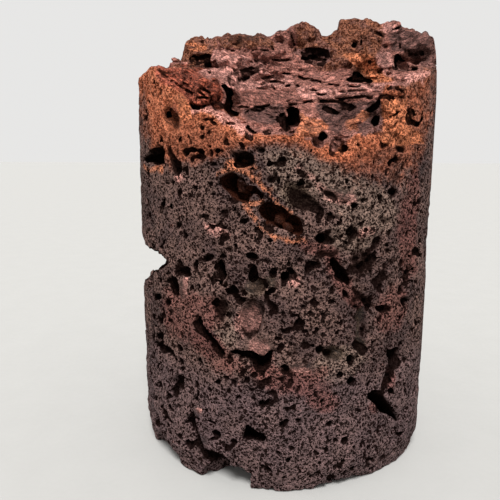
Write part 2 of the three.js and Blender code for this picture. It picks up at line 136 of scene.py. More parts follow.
# The caves of the broken top as they show in the picture: depth in mm, and corners in pixels.
SEEN_CAVES = [
    (4, [(190, 59), (194, 56), (200, 57), (205, 54), (211, 55), (210, 61), (212, 68), (205, 68), (200, 70),
        (194, 67), (189, 67)]),
    (11, [(219, 84), (226, 84), (228, 88), (232, 88), (232, 96), (231, 108), (233, 112), (238, 113),
        (238, 116), (231, 117), (226, 112), (223, 108), (226, 97), (224, 90)]),
    (6, [(190, 101), (193, 105), (200, 106), (206, 104), (205, 108), (200, 110), (193, 110), (190, 107)]),
    (1.2, [(209, 97), (214, 94), (220, 97), (224, 106), (221, 112), (214, 111), (210, 104)]),
    (1, [(226, 77), (233, 71), (240, 70), (258, 68), (262, 71), (250, 77), (245, 82), (238, 86), (229, 86)]),
    (10, [(286, 109), (292, 106.5), (298, 107.5), (301, 111), (300.5, 122), (298, 127), (294, 130),
        (289, 126), (286, 121), (288, 115)]),
    (5, [(279, 114), (284, 112), (288, 120), (290, 127), (294, 132), (290, 136), (285, 134), (284, 130),
        (280, 127), (277, 121)]),
    (2.5, [(300, 52), (306, 47), (318, 47), (328, 50), (331, 59), (322, 66), (304, 63)]),
    (4, [(244, 126), (248, 126), (252, 130), (257, 133), (254, 135.5), (249, 133)]),
    (3, [(262, 129.5), (268, 130), (271, 134), (266, 134.5)]),
    (6, [(301, 55.5), (306, 57), (309, 54.5), (316, 54.5), (320, 58), (328, 59), (324, 63), (318, 62.5),
        (312, 61), (306, 61.5), (301, 60.5)]),
    (5, [(352, 44), (357, 41), (362, 36), (366, 34), (368, 40), (364, 44), (363, 49.5), (355, 49.5),
        (351, 47)]),
    (11, [(343, 79.5), (351, 77), (353, 72), (359, 71), (363, 74), (365, 79), (374, 80), (371, 82.5),
        (360, 83.3), (352, 83)]),
    (5, [(376.5, 71), (382, 67.5), (384.5, 70), (380, 73.5), (377, 74)]),
    (11, [(393, 62), (396, 55), (398, 54), (401, 57), (404, 61), (408, 63), (409, 66.5), (418, 67.5),
        (417, 70), (410, 70.5), (403, 72), (398, 70), (393, 69)]),
    (1.2, [(404, 51), (412, 49.5), (425, 51), (424, 56), (414, 57), (406, 56)]),
    (2, [(367, 60), (371, 60), (371.5, 64), (368, 65)]),
    (2.4, [(321, 109), (327, 106), (333, 108), (337, 111), (341, 112), (341, 116), (334, 114.5),
        (327, 114)]),
    (1.2, [(340, 104), (352, 103), (357, 108), (350, 112), (341, 110)]),
    (4, [(365, 111), (371, 106), (376, 103), (379, 99), (381, 104), (376, 110), (370, 114)]),
    (6, [(374, 116), (379, 115), (380, 119), (378, 126), (374, 127.5), (370.5, 123)]),
    (5, [(404, 119), (407, 117), (410, 117), (414, 120), (419.5, 124), (418, 126), (412, 125.5),
        (407, 124)]),
    (4, [(406, 109), (410, 107), (414, 111), (416.5, 116), (413, 118), (408, 113)]),
    (7, [(319, 133), (323, 131), (327, 134), (327, 139), (322, 141), (318, 138)]),
    (9, [(166.5, 111), (170, 111), (173, 115), (171.5, 118), (168, 117), (166, 114)]),
]

# The dark slits between its folds: points as pixels across and down, and half the width there.
SEEN_SLITS = [
    [(249, 62.4, 0.8), (253, 61.6, 1.5), (257, 60.6, 1.1), (261, 59.8, 0.8)],
    [(234, 70.4, 1), (245, 69.2, 1.6), (252, 68.6, 1.8), (260, 67.8, 1.3)],
    [(238, 82, 1.2), (243, 79.8, 1.9), (249, 77.8, 1.2)],
    [(262, 78, 1), (268, 77, 1.5), (276, 75.8, 1.1)],
    [(249, 85.4, 0.9), (262, 84.2, 1.1), (268, 82, 1), (277, 81.4, 1.2), (284, 83.6, 0.9)],
    [(283, 73.4, 1.1), (287, 74, 1.5), (291, 74, 1)],
    [(286, 86.4, 1.2), (293, 85.2, 2), (299, 86.2, 1.4)],
    [(271, 85.6, 0.9), (275, 89.4, 1)],
    [(255, 107.4, 1.1), (262, 107.2, 1.6), (269, 105.2, 1.3)],
    [(243, 107.6, 1.1), (252, 110, 1.2), (260, 111.2, 1.3), (265, 108.4, 1)],
    [(264, 114.2, 1), (271, 114.2, 1.3), (277, 113, 0.9)],
    [(271, 118, 1.2), (280, 117.6, 1.4)],
    [(247, 113, 1.1), (250, 117, 1.1)],
    [(272, 59.4, 1.2), (280, 60.4, 1.4), (291, 60, 1)],
    [(243, 51.6, 1), (256, 50.4, 1.3), (268, 50.4, 1)],
    [(224, 49.4, 1.2), (232, 51, 1.3), (240, 49.6, 1)],
    [(300, 70.8, 1.3), (305, 73.4, 1.5)],
    [(299, 76.6, 1.2), (304, 79.4, 1.7), (309, 79, 1.5), (313, 80.8, 1.5), (317, 81.2, 1)],
    [(318, 80.6, 1.4), (324, 83.4, 1.8), (332, 84.8, 1.2)],
    [(332, 85.6, 1.3), (338, 86.2, 1.5), (342, 86.8, 0.9)],
    [(347, 85.6, 1), (354, 87.2, 1.2), (360, 87, 0.9)],
    [(311, 89.8, 1.1), (317, 90.8, 1.1)],
    [(317, 94, 1.1), (322, 95.2, 1.5), (327, 93.8, 0.9)],
    [(339, 92.2, 0.9), (350, 91, 1), (360, 90.4, 0.9)],
    [(289, 105, 1), (300, 103.4, 1.3), (308, 101.6, 1.8), (316, 101.2, 2), (330, 101, 2), (340, 101.8, 1.8),
        (347, 103.4, 1.2)],
    [(332, 97.6, 0.9), (342, 99, 1.3), (352, 97.6, 1.4), (362, 96.2, 1.6), (370, 97.6, 1.7), (377, 97, 2),
        (386, 96.4, 2), (394, 97.6, 1.8), (402, 97.4, 1.5), (406, 94.6, 1.4), (409, 97, 1)],
    [(388, 89.4, 1.3), (394, 87, 1.7), (401, 90.8, 1.1)],
    [(384, 119.2, 1), (391, 117, 1.3), (397, 113.4, 1.4)],
    [(396, 111.6, 1.3), (402, 110.8, 1.1)],
    [(170, 81.4, 1.1), (178, 80, 1.1), (187, 79, 1.2), (196, 79.4, 1)],
    [(175, 84, 1), (182, 87, 1.4), (188, 91, 1.5), (196, 95.6, 1.2)],
    [(181, 82, 0.9), (190, 86, 1.1), (198, 91, 1.2), (204, 95.4, 0.9)],
    [(198, 97.4, 1.1), (208, 98, 0.9)],
    [(192, 84, 0.9), (202, 88, 1.1), (210, 93, 1.2)],
    [(207, 119.4, 0.9), (215, 119, 1)],
    [(227, 123.4, 1.1), (234, 124, 1)],
    [(208, 69, 1.3), (210.6, 75, 1)],
    [(271.4, 46, 1.2), (274, 50, 1)],
    [(291, 34, 1), (294, 44, 1.1), (296, 52, 1)],
    [(371, 31.4, 1.2), (378, 33.4, 1.5), (384, 37, 1.1)],
    [(393, 29.4, 1.3), (399, 27.6, 1.2)],
    [(399, 37, 1.1), (400, 48, 1.3)],
]

# Colours of the broken top as they show in the picture, among them painted shade under its ledges and in its
# hollows, and a painted highlight along the crest of its hollow's rim: corners in pixels.
SEEN_COLOURS = {
    "ruddy": [
        [(157, 66), (168, 68), (183, 68), (195, 70), (203, 70), (211, 76), (218, 80), (223, 95), (215, 112),
            (205, 105), (190, 101), (183, 91), (172, 86), (160, 82), (154, 74)],
        [(172, 104), (178, 99), (186, 102), (191, 111), (186, 116), (176, 112)],
    ],
    "knob": [
        [(180, 34), (218, 34), (218, 46), (214, 55), (211, 60), (211, 71), (184, 70), (180, 58)],
        [(218, 30), (276, 30), (272, 50), (262, 47), (250, 50), (222, 50)],
        [(292, 20), (340, 14), (372, 14), (384, 24), (384, 34), (379, 50), (377, 62), (384, 72), (380, 81),
            (366, 80), (357, 70), (345, 65), (330, 70), (313, 70), (300, 60), (297, 44)],
        [(408, 70), (440, 66), (440, 100), (420, 100), (408, 92)],
    ],
    # Painted shade under the ledges and in the hollows.
    "shade_and_dark_patches": [
        [(389, 29), (404, 24), (437, 30), (437, 67), (420, 64), (404, 50), (392, 49)],
        [(302, 47), (330, 48), (330, 60), (318, 64), (302, 61)],
        [(234, 113), (256, 108), (282, 105), (286, 121), (262, 124), (246, 120)],
        [(320, 104), (352, 102), (379, 99), (380, 128), (364, 134), (362, 112), (340, 132), (326, 126)],
    ],
    "orange": [
        [(346, 52), (372, 53), (377, 62), (384, 71), (379, 80), (368, 79), (361, 69), (352, 60)],
        [(381, 102), (387, 98), (404, 98), (404, 106), (409, 114), (404, 121), (418, 130), (424, 142),
            (380, 142), (380, 126), (383, 120), (379, 112)],
        [(353, 118), (361, 109), (365, 112), (361, 122), (358, 131), (351, 129)],
        [(300, 113), (308, 116), (322, 119), (329, 126), (320, 134), (305, 138), (296, 131), (301, 122)],
        [(186, 44), (200, 42), (205, 46), (202, 51), (190, 54)],
        [(172, 100), (181, 96), (189, 104), (195, 112), (190, 119), (182, 119), (176, 110)],
    ],
    "pale": [
        [(222, 82), (232, 66), (262, 66), (272, 74), (300, 76), (296, 86), (268, 90), (240, 92), (228, 90)],
        # The next is a painted highlight along the crest of the hollow's rim.
        [(190, 108), (200, 109), (209, 105), (215, 111), (229, 118), (244, 128), (253, 135), (251, 138),
            (240, 131), (226, 123), (212, 115), (206, 110), (194, 113)],
        [(212, 57), (220, 50), (228, 56), (240, 58), (262, 62), (272, 62), (272, 66), (250, 66), (232, 68),
            (224, 78), (214, 72)],
        [(379, 52), (392, 50), (392, 66), (384, 67), (378, 61)],
        [(382, 28), (391, 20), (399, 24), (398, 30), (390, 33)],
        [(300, 86), (330, 89), (360, 92), (372, 93), (340, 97), (318, 99), (300, 97)],
        [(346, 81), (372, 83.5), (380, 80), (386, 84), (370, 89), (350, 85.5)],
        [(392, 74), (430, 69), (430, 74), (404, 82)],
    ],
}

# Outlines cut into the side: depth, and corners as turn and height.
OUTLINES = [
    (8.5, [(-20.6, 139.3), (-18.3, 140.6), (-16.2, 140.6), (-14.5, 139.4), (-11.8, 136.9), (-8.5, 136.8),
        (-7.3, 135.7), (-6.3, 133.2), (-7.7, 131.8), (-10.4, 131.7), (-11.8, 129.7), (-15.3, 131.4),
        (-17.9, 133.6), (-19.9, 135.9)]),
    (8, [(-8.9, 126.9), (-4.9, 129.1), (-0.9, 128.1), (3, 125), (5.1, 122.4), (6.1, 119.8), (5.9, 118.2),
        (2.9, 117.5), (-1.2, 119.7), (-5.3, 122.5)]),
    (13, [(-63.8, 147), (-55, 151.5), (-46, 153.4), (-44.9, 145.4), (-52, 144.6)]),
    (10, [(-12.9, 24.2), (-12, 32.4), (-9.8, 32.2), (-7.2, 29.2), (-4.4, 28), (-5.8, 24)]),
    (12, [(-44, 90.3), (-42, 94.7), (-39.2, 95.7), (-38.3, 88.8), (-38.9, 84.5), (-41.7, 84.3)]),
    (14, [(43.1, 61.4), (48.9, 59.5), (48.8, 55.3), (45.5, 53.4), (45.2, 48.4), (41.9, 41.4), (39.8, 38),
        (43.5, 33.3), (45.7, 29.9), (43.8, 29.6), (39.5, 31.9), (36.6, 36.5), (33.4, 40.1), (32.6, 42.9),
        (35.2, 44.2), (38.4, 43.6), (38.5, 47.1), (41.6, 55.2)]),
]

# Ridges joined to the side, so that the crack beside them stays narrow: how far in their middle lies, and
# points as turn, height and half width.
FILLS = [
    (5.2, [(-35.9, 78, 5.4), (-35.4, 72.4, 5.4), (-32.8, 67, 5.4), (-29.8, 63.7, 5.4), (-27, 61, 5.4),
        (-23.7, 59, 5.2)]),
    (2.4, [(-33.2, 79.6, 2.6), (-33.2, 75, 2.6), (-31.6, 70.6, 2.6), (-28.8, 66.8, 2.6), (-25.8, 64, 2.6),
        (-22.4, 62.2, 2.4)]),
]

# Grooves cut into the side: how far in their middle lies, and points as turn, height and half width.
GROOVES = [
    (10, [(-30.3, 79, 1.1), (-30.5, 75.6, 1.5), (-29, 71.8, 1.3), (-26.2, 68.8, 1.4), (-23.2, 65.8, 1.5),
        (-19.8, 64.4, 0.9)]),
    (10, [(-16.6, 64.9, 0.9), (-13, 65.2, 1.2), (-10.1, 65, 1.8), (-8.6, 62.8, 2.4), (-7, 60.4, 2.6),
        (-5.4, 61.4, 2.1), (-4.4, 64.1, 1.5), (-3, 66.8, 0.9)]),
    (8, [(15.9, 104.8, 1.2), (17.4, 102.6, 2), (19.8, 99.8, 1.9), (22.2, 96.8, 1.1)]),
    (2, [(24.6, 93.4, 0.6), (27.9, 88.4, 0.9), (31.1, 85.4, 1.1), (34, 83.4, 0.8), (38, 81.6, 1.1),
        (42, 81.4, 0.8)]),
    (4, [(52, 92.5, 1.2), (48, 90.6, 1.6), (46.2, 88, 1.8), (47.6, 85, 1.2), (51.2, 82.7, 0.9)]),
    (2, [(27, 85, 1), (28.6, 81, 1.8), (29.1, 76, 2), (28.2, 72, 2.2), (27.4, 68.6, 2.4), (29.6, 65, 1.6)]),
    (0.6, [(-49.4, 79.3, 0.9), (-46.6, 75, 0.7)]),
    (3, [(-41.5, 150.2, 1.2), (-40.6, 147, 1.8), (-40, 143, 1.8), (-37.4, 139.4, 1.4)]),
    (4, [(-34.4, 34, 1.2), (-33, 29, 1.8), (-31.4, 23, 2.2), (-30.6, 17, 2.4), (-28.6, 12, 2)]),
    (0.5, [(-6.6, 83.6, 0.7), (-6.2, 86.2, 0.8), (-4.4, 87.8, 0.9), (-2.4, 86.2, 0.8), (-1.8, 83.4, 0.7)]),
    (0.5, [(5, 142.4, 0.8), (8.6, 138.9, 1), (12.9, 134.8, 1.2), (17.5, 131.5, 1.4), (23.4, 129, 1.2)]),
    (4, [(112, 150, 0.8), (117, 143, 1.6), (118, 134, 1.4), (122, 127, 0.8)]),
    (5, [(-142, 92, 0.8), (-137, 88, 1.6), (-131, 87, 1.4), (-126, 80, 1.8), (-124, 74, 0.8)]),
]

# Pits of the side: turn, height, half width, half height, depth and tilt.
PITS = [
    (-12.8, 147.6, 5.4, 3.6, 5, 5), (-6.9, 151.3, 1.7, 1.4, 3, 0), (-41, 166.8, 2.3, 1.7, 9, 25),
    (-20.6, 100.8, 1.8, 5, 6, -14), (-16.4, 92.4, 2.4, 2.2, 4, 0), (-9.7, 100, 1.9, 2.6, 5, 10),
    (-3.1, 100.6, 1.6, 2.2, 5, 0), (0.8, 99.6, 1.8, 2.2, 6, 0), (-10.7, 108.1, 2.6, 1.6, 3, 0),
    (-25.4, 105.8, 3.4, 1.6, 3, -25), (-34.6, 98.3, 2.2, 2.2, 4, 0), (-54, 81, 3.2, 1.2, 6, -12),
    (-29.4, 57.9, 1.9, 2.1, 4, 0), (0.3, 59.6, 2.2, 1.1, 5, 0), (13.3, 115.1, 2.4, 2.7, 8, 20),
    (22.8, 118, 2.6, 2.6, 4, 0), (8.7, 103.9, 2, 2, 3, 0), (31.8, 104.8, 2.6, 2.1, 4, 0),
    (10.2, 127.6, 3.4, 2.4, 3, 0), (23.9, 128.8, 1.8, 1.2, 3, 0), (37.7, 145.8, 1.6, 1.4, 4, 0),
    (41.5, 147.6, 2, 1.4, 2.4, 20), (43, 152.4, 4, 1.2, 2, 5), (12.6, 67.6, 2, 1.7, 5, 0),
    (17.3, 65.2, 3.6, 2.6, 3, 20), (24.2, 61.2, 1.6, 2.6, 6, -20), (20.3, 55.6, 2, 2, 3.4, 0),
    (25.1, 50.6, 1.7, 1.8, 4, 0), (31.9, 48, 0.9, 1, 3, 0), (14, 83.2, 2.8, 1.2, 2.4, 0),
    (5.6, 79.4, 2.2, 2.6, 2.4, 0), (-22.5, 24.6, 1.9, 1.7, 3.4, 0), (-31.4, 38.4, 1.9, 1.9, 3.2, 0),
    (-44, 37.4, 3.4, 3, 3.4, 0), (-52, 57, 6, 2.6, 4, -10), (-44.5, 56.6, 4, 1.7, 3, 20),
    (-57, 15, 5, 3, 3, -20), (7.4, 157, 1.2, 1.4, 3, 0), (11.3, 154.9, 3.4, 3, 5, 0),
    (16.8, 153.2, 3, 2.8, 5, 0), (-24, 153, 1.4, 1, 3, 0), (-27.6, 151, 1.6, 1.2, 3, 0),
    (-21.4, 151.2, 1, 1, 3, 0), (-31, 151.4, 2.2, 1.1, 2.6, 0), (-23, 155, 1, 1, 2.4, 0),
    (-33.6, 150.4, 1.4, 1.2, 3, 0), (-29, 148.6, 2.4, 0.9, 2, 0), (52.6, 124, 2, 1.6, 3, 0),
    (57, 60, 1.4, 2, 3, 0), (-6, 43, 1.4, 1.6, 3, 0), (6, 36, 1.6, 1.6, 3, 0), (17, 33, 2, 1.7, 3, 0),
]

# Patches of the side with deeper pores: turn, height, half width, half height and tilt.
OPEN_PATCHES = [
    (-52, 66, 9, 9, 10), (-41, 54, 7, 6, -20), (-34, 24, 6, 14, 8), (-21, 100, 4, 9, 0), (-38, 98, 6, 6, 0),
    (-60, 40, 7, 10, 0), (-14, 92, 4, 6, 0), (48, 44, 5, 12, 0), (28, 104, 9, 6, 20), (40, 92, 5, 9, 0),
    (100, 74, 10, 8, 20), (150, 96, 9, 12, 0), (-104, 50, 9, 8, 0), (-148, 150, 12, 7, 0),
    (-170, 34, 12, 8, 10), (75, 150, 6, 9, 0), (128, 30, 10, 7, 0),
]

# Patches of the side that stay smooth: turn, height, half width, half height and tilt.
SMOOTH_PATCHES = [
    (-40.2, 164.6, 7.6, 5.4, 34), (-36.4, 170.6, 4.6, 4.4, 0), (19, 133.4, 8.5, 2.4, 14),
    (-10, 80.6, 5.6, 9.4, 8), (-6.6, 69, 5.8, 4.6, 14), (28.5, 77, 2.6, 9, 4), (28, 68, 3.4, 4.6, -10),
    (17.6, 64.8, 5, 3.4, 24), (6.8, 60, 6, 2.2, 0), (-9, 95, 4.6, 3.4, 0), (-3.4, 97.6, 3, 2.6, 0),
    (-30.4, 33.4, 2.8, 2.6, 0), (-28, 21, 2.8, 4, 0), (-36, 90, 2.2, 6, 0), (97, 112, 7, 4, 30),
    (134, 92, 9, 4, -20), (168, 140, 8, 5, 14), (-120, 108, 6, 8, 10), (-165, 60, 8, 4, 25),
    (-96, 60, 4, 8, 0),
]

# Parts of the hollow's wall that stay smooth: middle, and radii along x, y and z.
SMOOTH_WALL = [
    ((-9, -40, 175), (17, 8, 5)), ((48, -22, 196), (6, 8, 6)), ((-20, -4, 207.5), (12, 6, 4)),
]


def smooth_step(value, low, high):
    t = np.clip((value - low) / (high - low), 0, 1)
    return t * t * (3 - 2 * t)


def smooth_max(a, b, width):
    blend = np.clip(0.5 + 0.5 * (a - b) / width, 0, 1)
    return b + (a - b) * blend + width * blend * (1 - blend)


def along(points, place):
    """A line given by points (place, value), read at each place."""
    places, values = zip(*points)
    return np.interp(place, places, values)


def turn_of(x, y):
    return np.degrees(np.arctan2(x, -y))


def camera_matrix():
    return (
        Matrix.Translation([c * MM for c in CAMERA_AT])
        @ Matrix.Rotation(math.radians(CAMERA_YAW), 4, "Z")
        @ Matrix.Rotation(math.radians(90 - CAMERA_PITCH), 4, "X")
        @ Matrix.Rotation(math.radians(CAMERA_ROLL), 4, "Z")
    )


def put_in_scene(name, data):
    made = bpy.data.objects.new(name, data)
    bpy.context.scene.collection.objects.link(made)
    return made


def camera():
    lens = bpy.data.cameras.new("camera")
    lens.sensor_width = SENSOR
    lens.lens = FOCAL_PIXELS / FRAME_PIXELS * SENSOR
    lens.clip_start = 0.01
    place = put_in_scene("camera", lens)
    place.matrix_world = camera_matrix()
    bpy.context.scene.camera = place


def seen(x, y, z):
    """Where points in mm show in the picture, in pixels across and down, and how far away in mm."""
    right, up, back = np.array(camera_matrix().to_3x3()).T
    away = (x - CAMERA_AT[0], y - CAMERA_AT[1], z - CAMERA_AT[2])
    across, rise, depth = (sum(a * b for a, b in zip(away, axis)) for axis in (right, up, -back))
    middle = FRAME_PIXELS / 2
    return middle + FOCAL_PIXELS * across / depth, middle - FOCAL_PIXELS * rise / depth, depth


def on_side(turn, height, deep=0.0):
    """The point at a turn and height, deep mm inside the ground side."""
    angle = math.radians(turn)
    radius = RADIUS - deep
    return np.array((radius * math.sin(angle), -radius * math.cos(angle), height))


def outline_distance(corners, across, up):
    """Distance to a closed outline, below 0 inside it."""
    nearest = np.inf
    inside = False
    for (ax, ay), (bx, by) in zip(corners, corners[1:] + corners[:1]):
        px, py = across - ax, up - ay
        ex, ey = bx - ax, by - ay
        t = np.clip((px * ex + py * ey) / (ex * ex + ey * ey), 0, 1)
        nearest = np.minimum(nearest, (px - ex * t) ** 2 + (py - ey * t) ** 2)
        if ay != by:
            inside = inside ^ (((ay > up) != (by > up)) & (px < ex * py / ey))
    return np.where(inside, -1, 1) * np.sqrt(nearest)


def line_distance(points, x, y, z):
    """Distance to a line of round section through points (x, y, z, radius), below 0 inside it."""
    nearest = np.inf
    for start, end in zip(points, points[1:]):
        px, py, pz = x - start[0], y - start[1], z - start[2]
        ex, ey, ez, grows = (e - s for e, s in zip(end, start))
        t = np.clip((px * ex + py * ey + pz * ez) / (ex * ex + ey * ey + ez * ez), 0, 1)
        away = np.sqrt((px - ex * t) ** 2 + (py - ey * t) ** 2 + (pz - ez * t) ** 2)
        nearest = np.minimum(nearest, away - start[3] - grows * t)
    return nearest


def vertices(mesh):
    """A mesh's vertices in mm."""
    points = np.empty(len(mesh.vertices) * 3, np.float32)
    mesh.vertices.foreach_get("co", points)
    return points.reshape(-1, 3) / MM


class Field:
    """Voxels round the stone. Each value is about the distance to the surface in mm, below 0 inside."""

    def __init__(self, mesh):
        mesh.calc_loop_triangles()
        corners = np.empty(len(mesh.loop_triangles) * 3, np.int32)
        mesh.loop_triangles.foreach_get("vertices", corners)
        grid = vdb.FloatGrid.createLevelSetFromPolygons(
            vertices(mesh),
            triangles=corners.reshape(-1, 3).astype(np.uint32),
            transform=vdb.createLinearTransform(voxelSize=VOXEL),
            halfWidth=VOXELS_DEEP,
        )
        low, high = (np.array(corner) for corner in grid.evalActiveVoxelBoundingBox())
        self.low = low
        self.value = np.empty(high - low + 1, np.float32)
        grid.copyToArray(self.value, ijk=tuple(int(i) for i in low))
        axes = [np.arange(n, dtype=np.float32) for n in self.value.shape]
        x, y, z = ((axis + start) * VOXEL for axis, start in zip(axes, low))
        self.x, self.y, self.z = x[:, None, None], y[None, :, None], z[None, None, :]
        self.turn = turn_of(self.x, self.y)
        self.inside = RADIUS - np.hypot(self.x, self.y)

    def noise(self, spacing, seed):
        """Smooth noise of spread 1 all over the field. spacing is its grain in mm, along x, y and z."""
        to_spread_1 = 3.02
        draw = np.random.default_rng(SEED + seed)
        weights = [spline_weights(n, step) for n, step in zip(self.value.shape, spacing)]
        lattice = draw.standard_normal([w.shape[1] for w in weights]).astype(np.float32)
        for weight in weights:
            lattice = np.tensordot(lattice, weight, axes=(0, 1))
        return lattice * to_spread_1

    def box(self, low, high):
        """The slices of the voxels between two corners, and those voxels' x, y and z."""
        first = np.floor(np.asarray(low) / VOXEL).astype(int) - self.low
        last = np.ceil(np.asarray(high) / VOXEL).astype(int) - self.low + 1
        first = np.clip(first, 0, self.value.shape)
        last = np.clip(last, 0, self.value.shape)
        cut = tuple(slice(a, b) for a, b in zip(first, last))
        return cut, self.x[cut[0]], self.y[:, cut[1]], self.z[:, :, cut[2]]

    def pebble(self, centre, radii, turned=np.eye(3)):
        """Distance to an ellipsoid, below 0 inside it. turned is a 3 by 3 rotation."""
        reach = max(radii) + 2
        cut, x, y, z = self.box(np.subtract(centre, reach), np.add(centre, reach))
        x, y, z = x - centre[0], y - centre[1], z - centre[2]
        local = [turned[0][i] * x + turned[1][i] * y + turned[2][i] * z for i in range(3)]
        size = np.sqrt(sum((part / radius) ** 2 for part, radius in zip(local, radii)))
        return cut, (size - 1) * min(radii)

    def line(self, points):
        """Distance to a line of round section, below 0 inside it."""
        points = np.asarray(points)
        reach = points[:, 3:].max() + 2
        cut, x, y, z = self.box(points[:, :3].min(0) - reach, points[:, :3].max(0) + reach)
        return cut, line_distance(points, x, y, z)

    def prism(self, corners, deep):
        """Distance to the space behind an outline on the side, corners given as turn and height."""
        turn, height = np.mean(corners, axis=0)
        drawn = [((t - turn) * DEGREE, h - height) for t, h in corners]
        reach = np.abs(drawn).max() + deep + 2
        cut, x, y, z = self.box(on_side(turn, height) - reach, on_side(turn, height) + reach)
        flat = cut[:2]
        across = (self.turn[flat] - turn) * DEGREE
        distance = outline_distance(drawn, across, z - height)
        return cut, np.maximum(distance, self.inside[flat] - deep)

    def carve(self, shape, wobble=None, soft=0.5, sign=1):
        """Cuts a shape out of the stone, or joins it on where sign is -1."""
        cut, distance = shape
        if distance.size:
            if wobble is not None:
                distance = distance + wobble[cut]
            self.value[cut] = sign * smooth_max(sign * self.value[cut], -distance, soft)

    def join(self, shape, wobble=None, soft=1.5):
        self.carve(shape, wobble, soft, -1)

    def read(self, array, points):
        """An array's values at points in mm, straight between voxels."""
        place = points / VOXEL - self.low
        first = np.clip(np.floor(place).astype(int), 0, np.array(array.shape) - 2)
        part = place - first
        total = np.zeros(len(points))
        for corner in np.ndindex(2, 2, 2):
            share = np.prod(np.where(corner, part, 1 - part), axis=1)
            total += share * array[tuple((first + corner).T)]
        return total

    def mesh(self):
        """Points and four-cornered faces of the surface, without loose chips or sealed bubbles."""
        grid = vdb.FloatGrid(float(self.value.max()))
        grid.copyFromArray(self.value, ijk=tuple(int(i) for i in self.low), tolerance=0.0)
        grid.transform = vdb.createLinearTransform(voxelSize=VOXEL)
        grid.gridClass = vdb.GridClass.LEVEL_SET
        points, _, quads = grid.convertToPolygons(isovalue=0.0, adaptivity=0.0)
        return largest_body(points, quads.astype(np.int64))


def spline_weights(count, spacing):
    """How much each point of a lattice counts at each of count voxels, by a cubic B-spline."""
    place = np.arange(count) * VOXEL / spacing
    first = np.floor(place).astype(int)
    t = (place - first).astype(np.float32)
    weights = np.zeros((count, first.max() + 4), np.float32)
    parts = ((1 - t) ** 3, 3 * t**3 - 6 * t**2 + 4, -3 * t**3 + 3 * t**2 + 3 * t + 1, t**3)
    for step, part in enumerate(parts):
        weights[np.arange(count), first + step] = part / 6
    return weights


def blurred(array, steps):
    """A box blur over 2 * steps + 1 voxels each way."""
    wide = 2 * steps + 1
    for axis, size in enumerate(array.shape):
        more = [(0, 0)] * 3
        more[axis] = (steps + 1, steps)
        total = np.cumsum(np.pad(array, more, "edge"), axis=axis, dtype=np.float32)
        far = np.take(total, np.arange(wide, size + wide), axis)
        array = (far - np.take(total, np.arange(size), axis)) / wide
    return array


def largest_body(points, quads):
    """Keeps the connected body with the most faces."""
    body = np.arange(len(points))
    edges = np.concatenate([quads[:, [corner, (corner + 1) % 4]] for corner in range(4)]).T
    while True:
        ends = body[edges]
        joined = body.copy()
        for end in ends:
            np.minimum.at(joined, end, ends.min(axis=0))
        joined = joined[joined]
        joined = joined[joined]
        if (joined == body).all():
            break
        body = joined
    names, counts = np.unique(body[quads[:, 0]], return_counts=True)
    kept = quads[body[quads[:, 0]] == names[counts.argmax()]]
    used, fresh = np.unique(kept, return_inverse=True)
    return points[used], fresh.reshape(-1, 4)


def rotation(turn=0.0, tilt=0.0):
    """Local axes right along the side, inwards and up, at a turn, tilted clockwise."""
    matrix = Matrix.Rotation(math.radians(turn), 3, "Z") @ Matrix.Rotation(math.radians(tilt), 3, "Y")
    return np.array(matrix)


def random_rotation(draw):
    matrix, _ = np.linalg.qr(draw.standard_normal((3, 3)))
    return matrix


def patches_near(field, side, wall=()):
    """1 near the patches of the side, and near the pebbles of the hollow's wall, 0 elsewhere."""
    near = np.zeros_like(field.value)
    deep = 9
    pebbles = [
        (on_side(turn, height), (wide, deep, tall), rotation(turn, tilt))
        for turn, height, wide, tall, tilt in side
    ]
    pebbles += [(centre, radii, np.eye(3)) for centre, radii in wall]
    for centre, radii, turned in pebbles:
        cut, distance = field.pebble(centre, radii, turned)
        near[cut] = np.maximum(near[cut], 1 - smooth_step(distance / min(radii), -0.35, 0.1))
    return near


def raise_forms(field, grain):
    """Joins on the lumps of the top and the ridges of the side."""
    for centre, radii in LUMPS:
        field.join(field.pebble(centre, radii), 1.3 * grain, soft=3.0)
    for deep, points in FILLS:
        bed = [(*on_side(turn, height, deep), half) for turn, height, half in points]
        field.join(field.line(bed), soft=1.0)


def roughen(field, calm, grit):
    """Grain all over, layers that overhang where the stone is broken, and a ragged notch."""
    turn, z = field.turn, field.z
    broken = smooth_step(field.inside, 1.5, 5.0) * smooth_step(z - along(BROKEN_EDGE, turn), -3, 3)
    upper = smooth_step(z, 188, 196)
    wander = field.noise((9, 9, 5), 1)
    level = z - BOW * (field.x - BOW_MIDDLE) ** 2
    layer = level / LAYER_HEIGHT + 0.75 * wander + 0.25 * field.noise((4, 4, 2.6), 2)
    plates = 1.5 * (layer - np.floor(layer)) * smooth_step(field.noise((11, 11, 7), 6), -1.2, 0.8) - 0.5
    coarse = field.noise((6, 6, 5), 3)
    fine = field.noise((2.2, 2.2, 1.8), 4)
    rough = (1 - 0.75 * upper) * plates + (0.3 + 0.6 * upper) * coarse + (0.4 + 0.3 * upper) * fine
    right = smooth_step(turn, -2, 10) * smooth_step(-turn, -60, -48) * smooth_step(z, 84, 94)
    uneven = 0.15 + 0.38 * right + 0.25 * smooth_step(np.abs(turn), 80, 110)
    notch = smooth_step(-turn, 52, 58) * smooth_step(turn, -140, -130)
    notch = notch * (1 - smooth_step(np.abs(z - NOTCH_HEIGHT + NOTCH_DIP * field.y), 9, 14))
    ground = uneven * (np.maximum(coarse, 0) + np.maximum(fine, 0))
    ground = ground + 0.9 * notch * np.maximum(coarse + fine, -0.2)
    change = broken * rough + (1 - broken) * ground
    change = change + (0.12 + 0.22 * broken + 0.2 * upper + 0.3 * notch) * grit
    change *= 1 - 0.7 * calm
    field.value += np.where(np.abs(field.value) < NEAR, change, 0)
    return broken


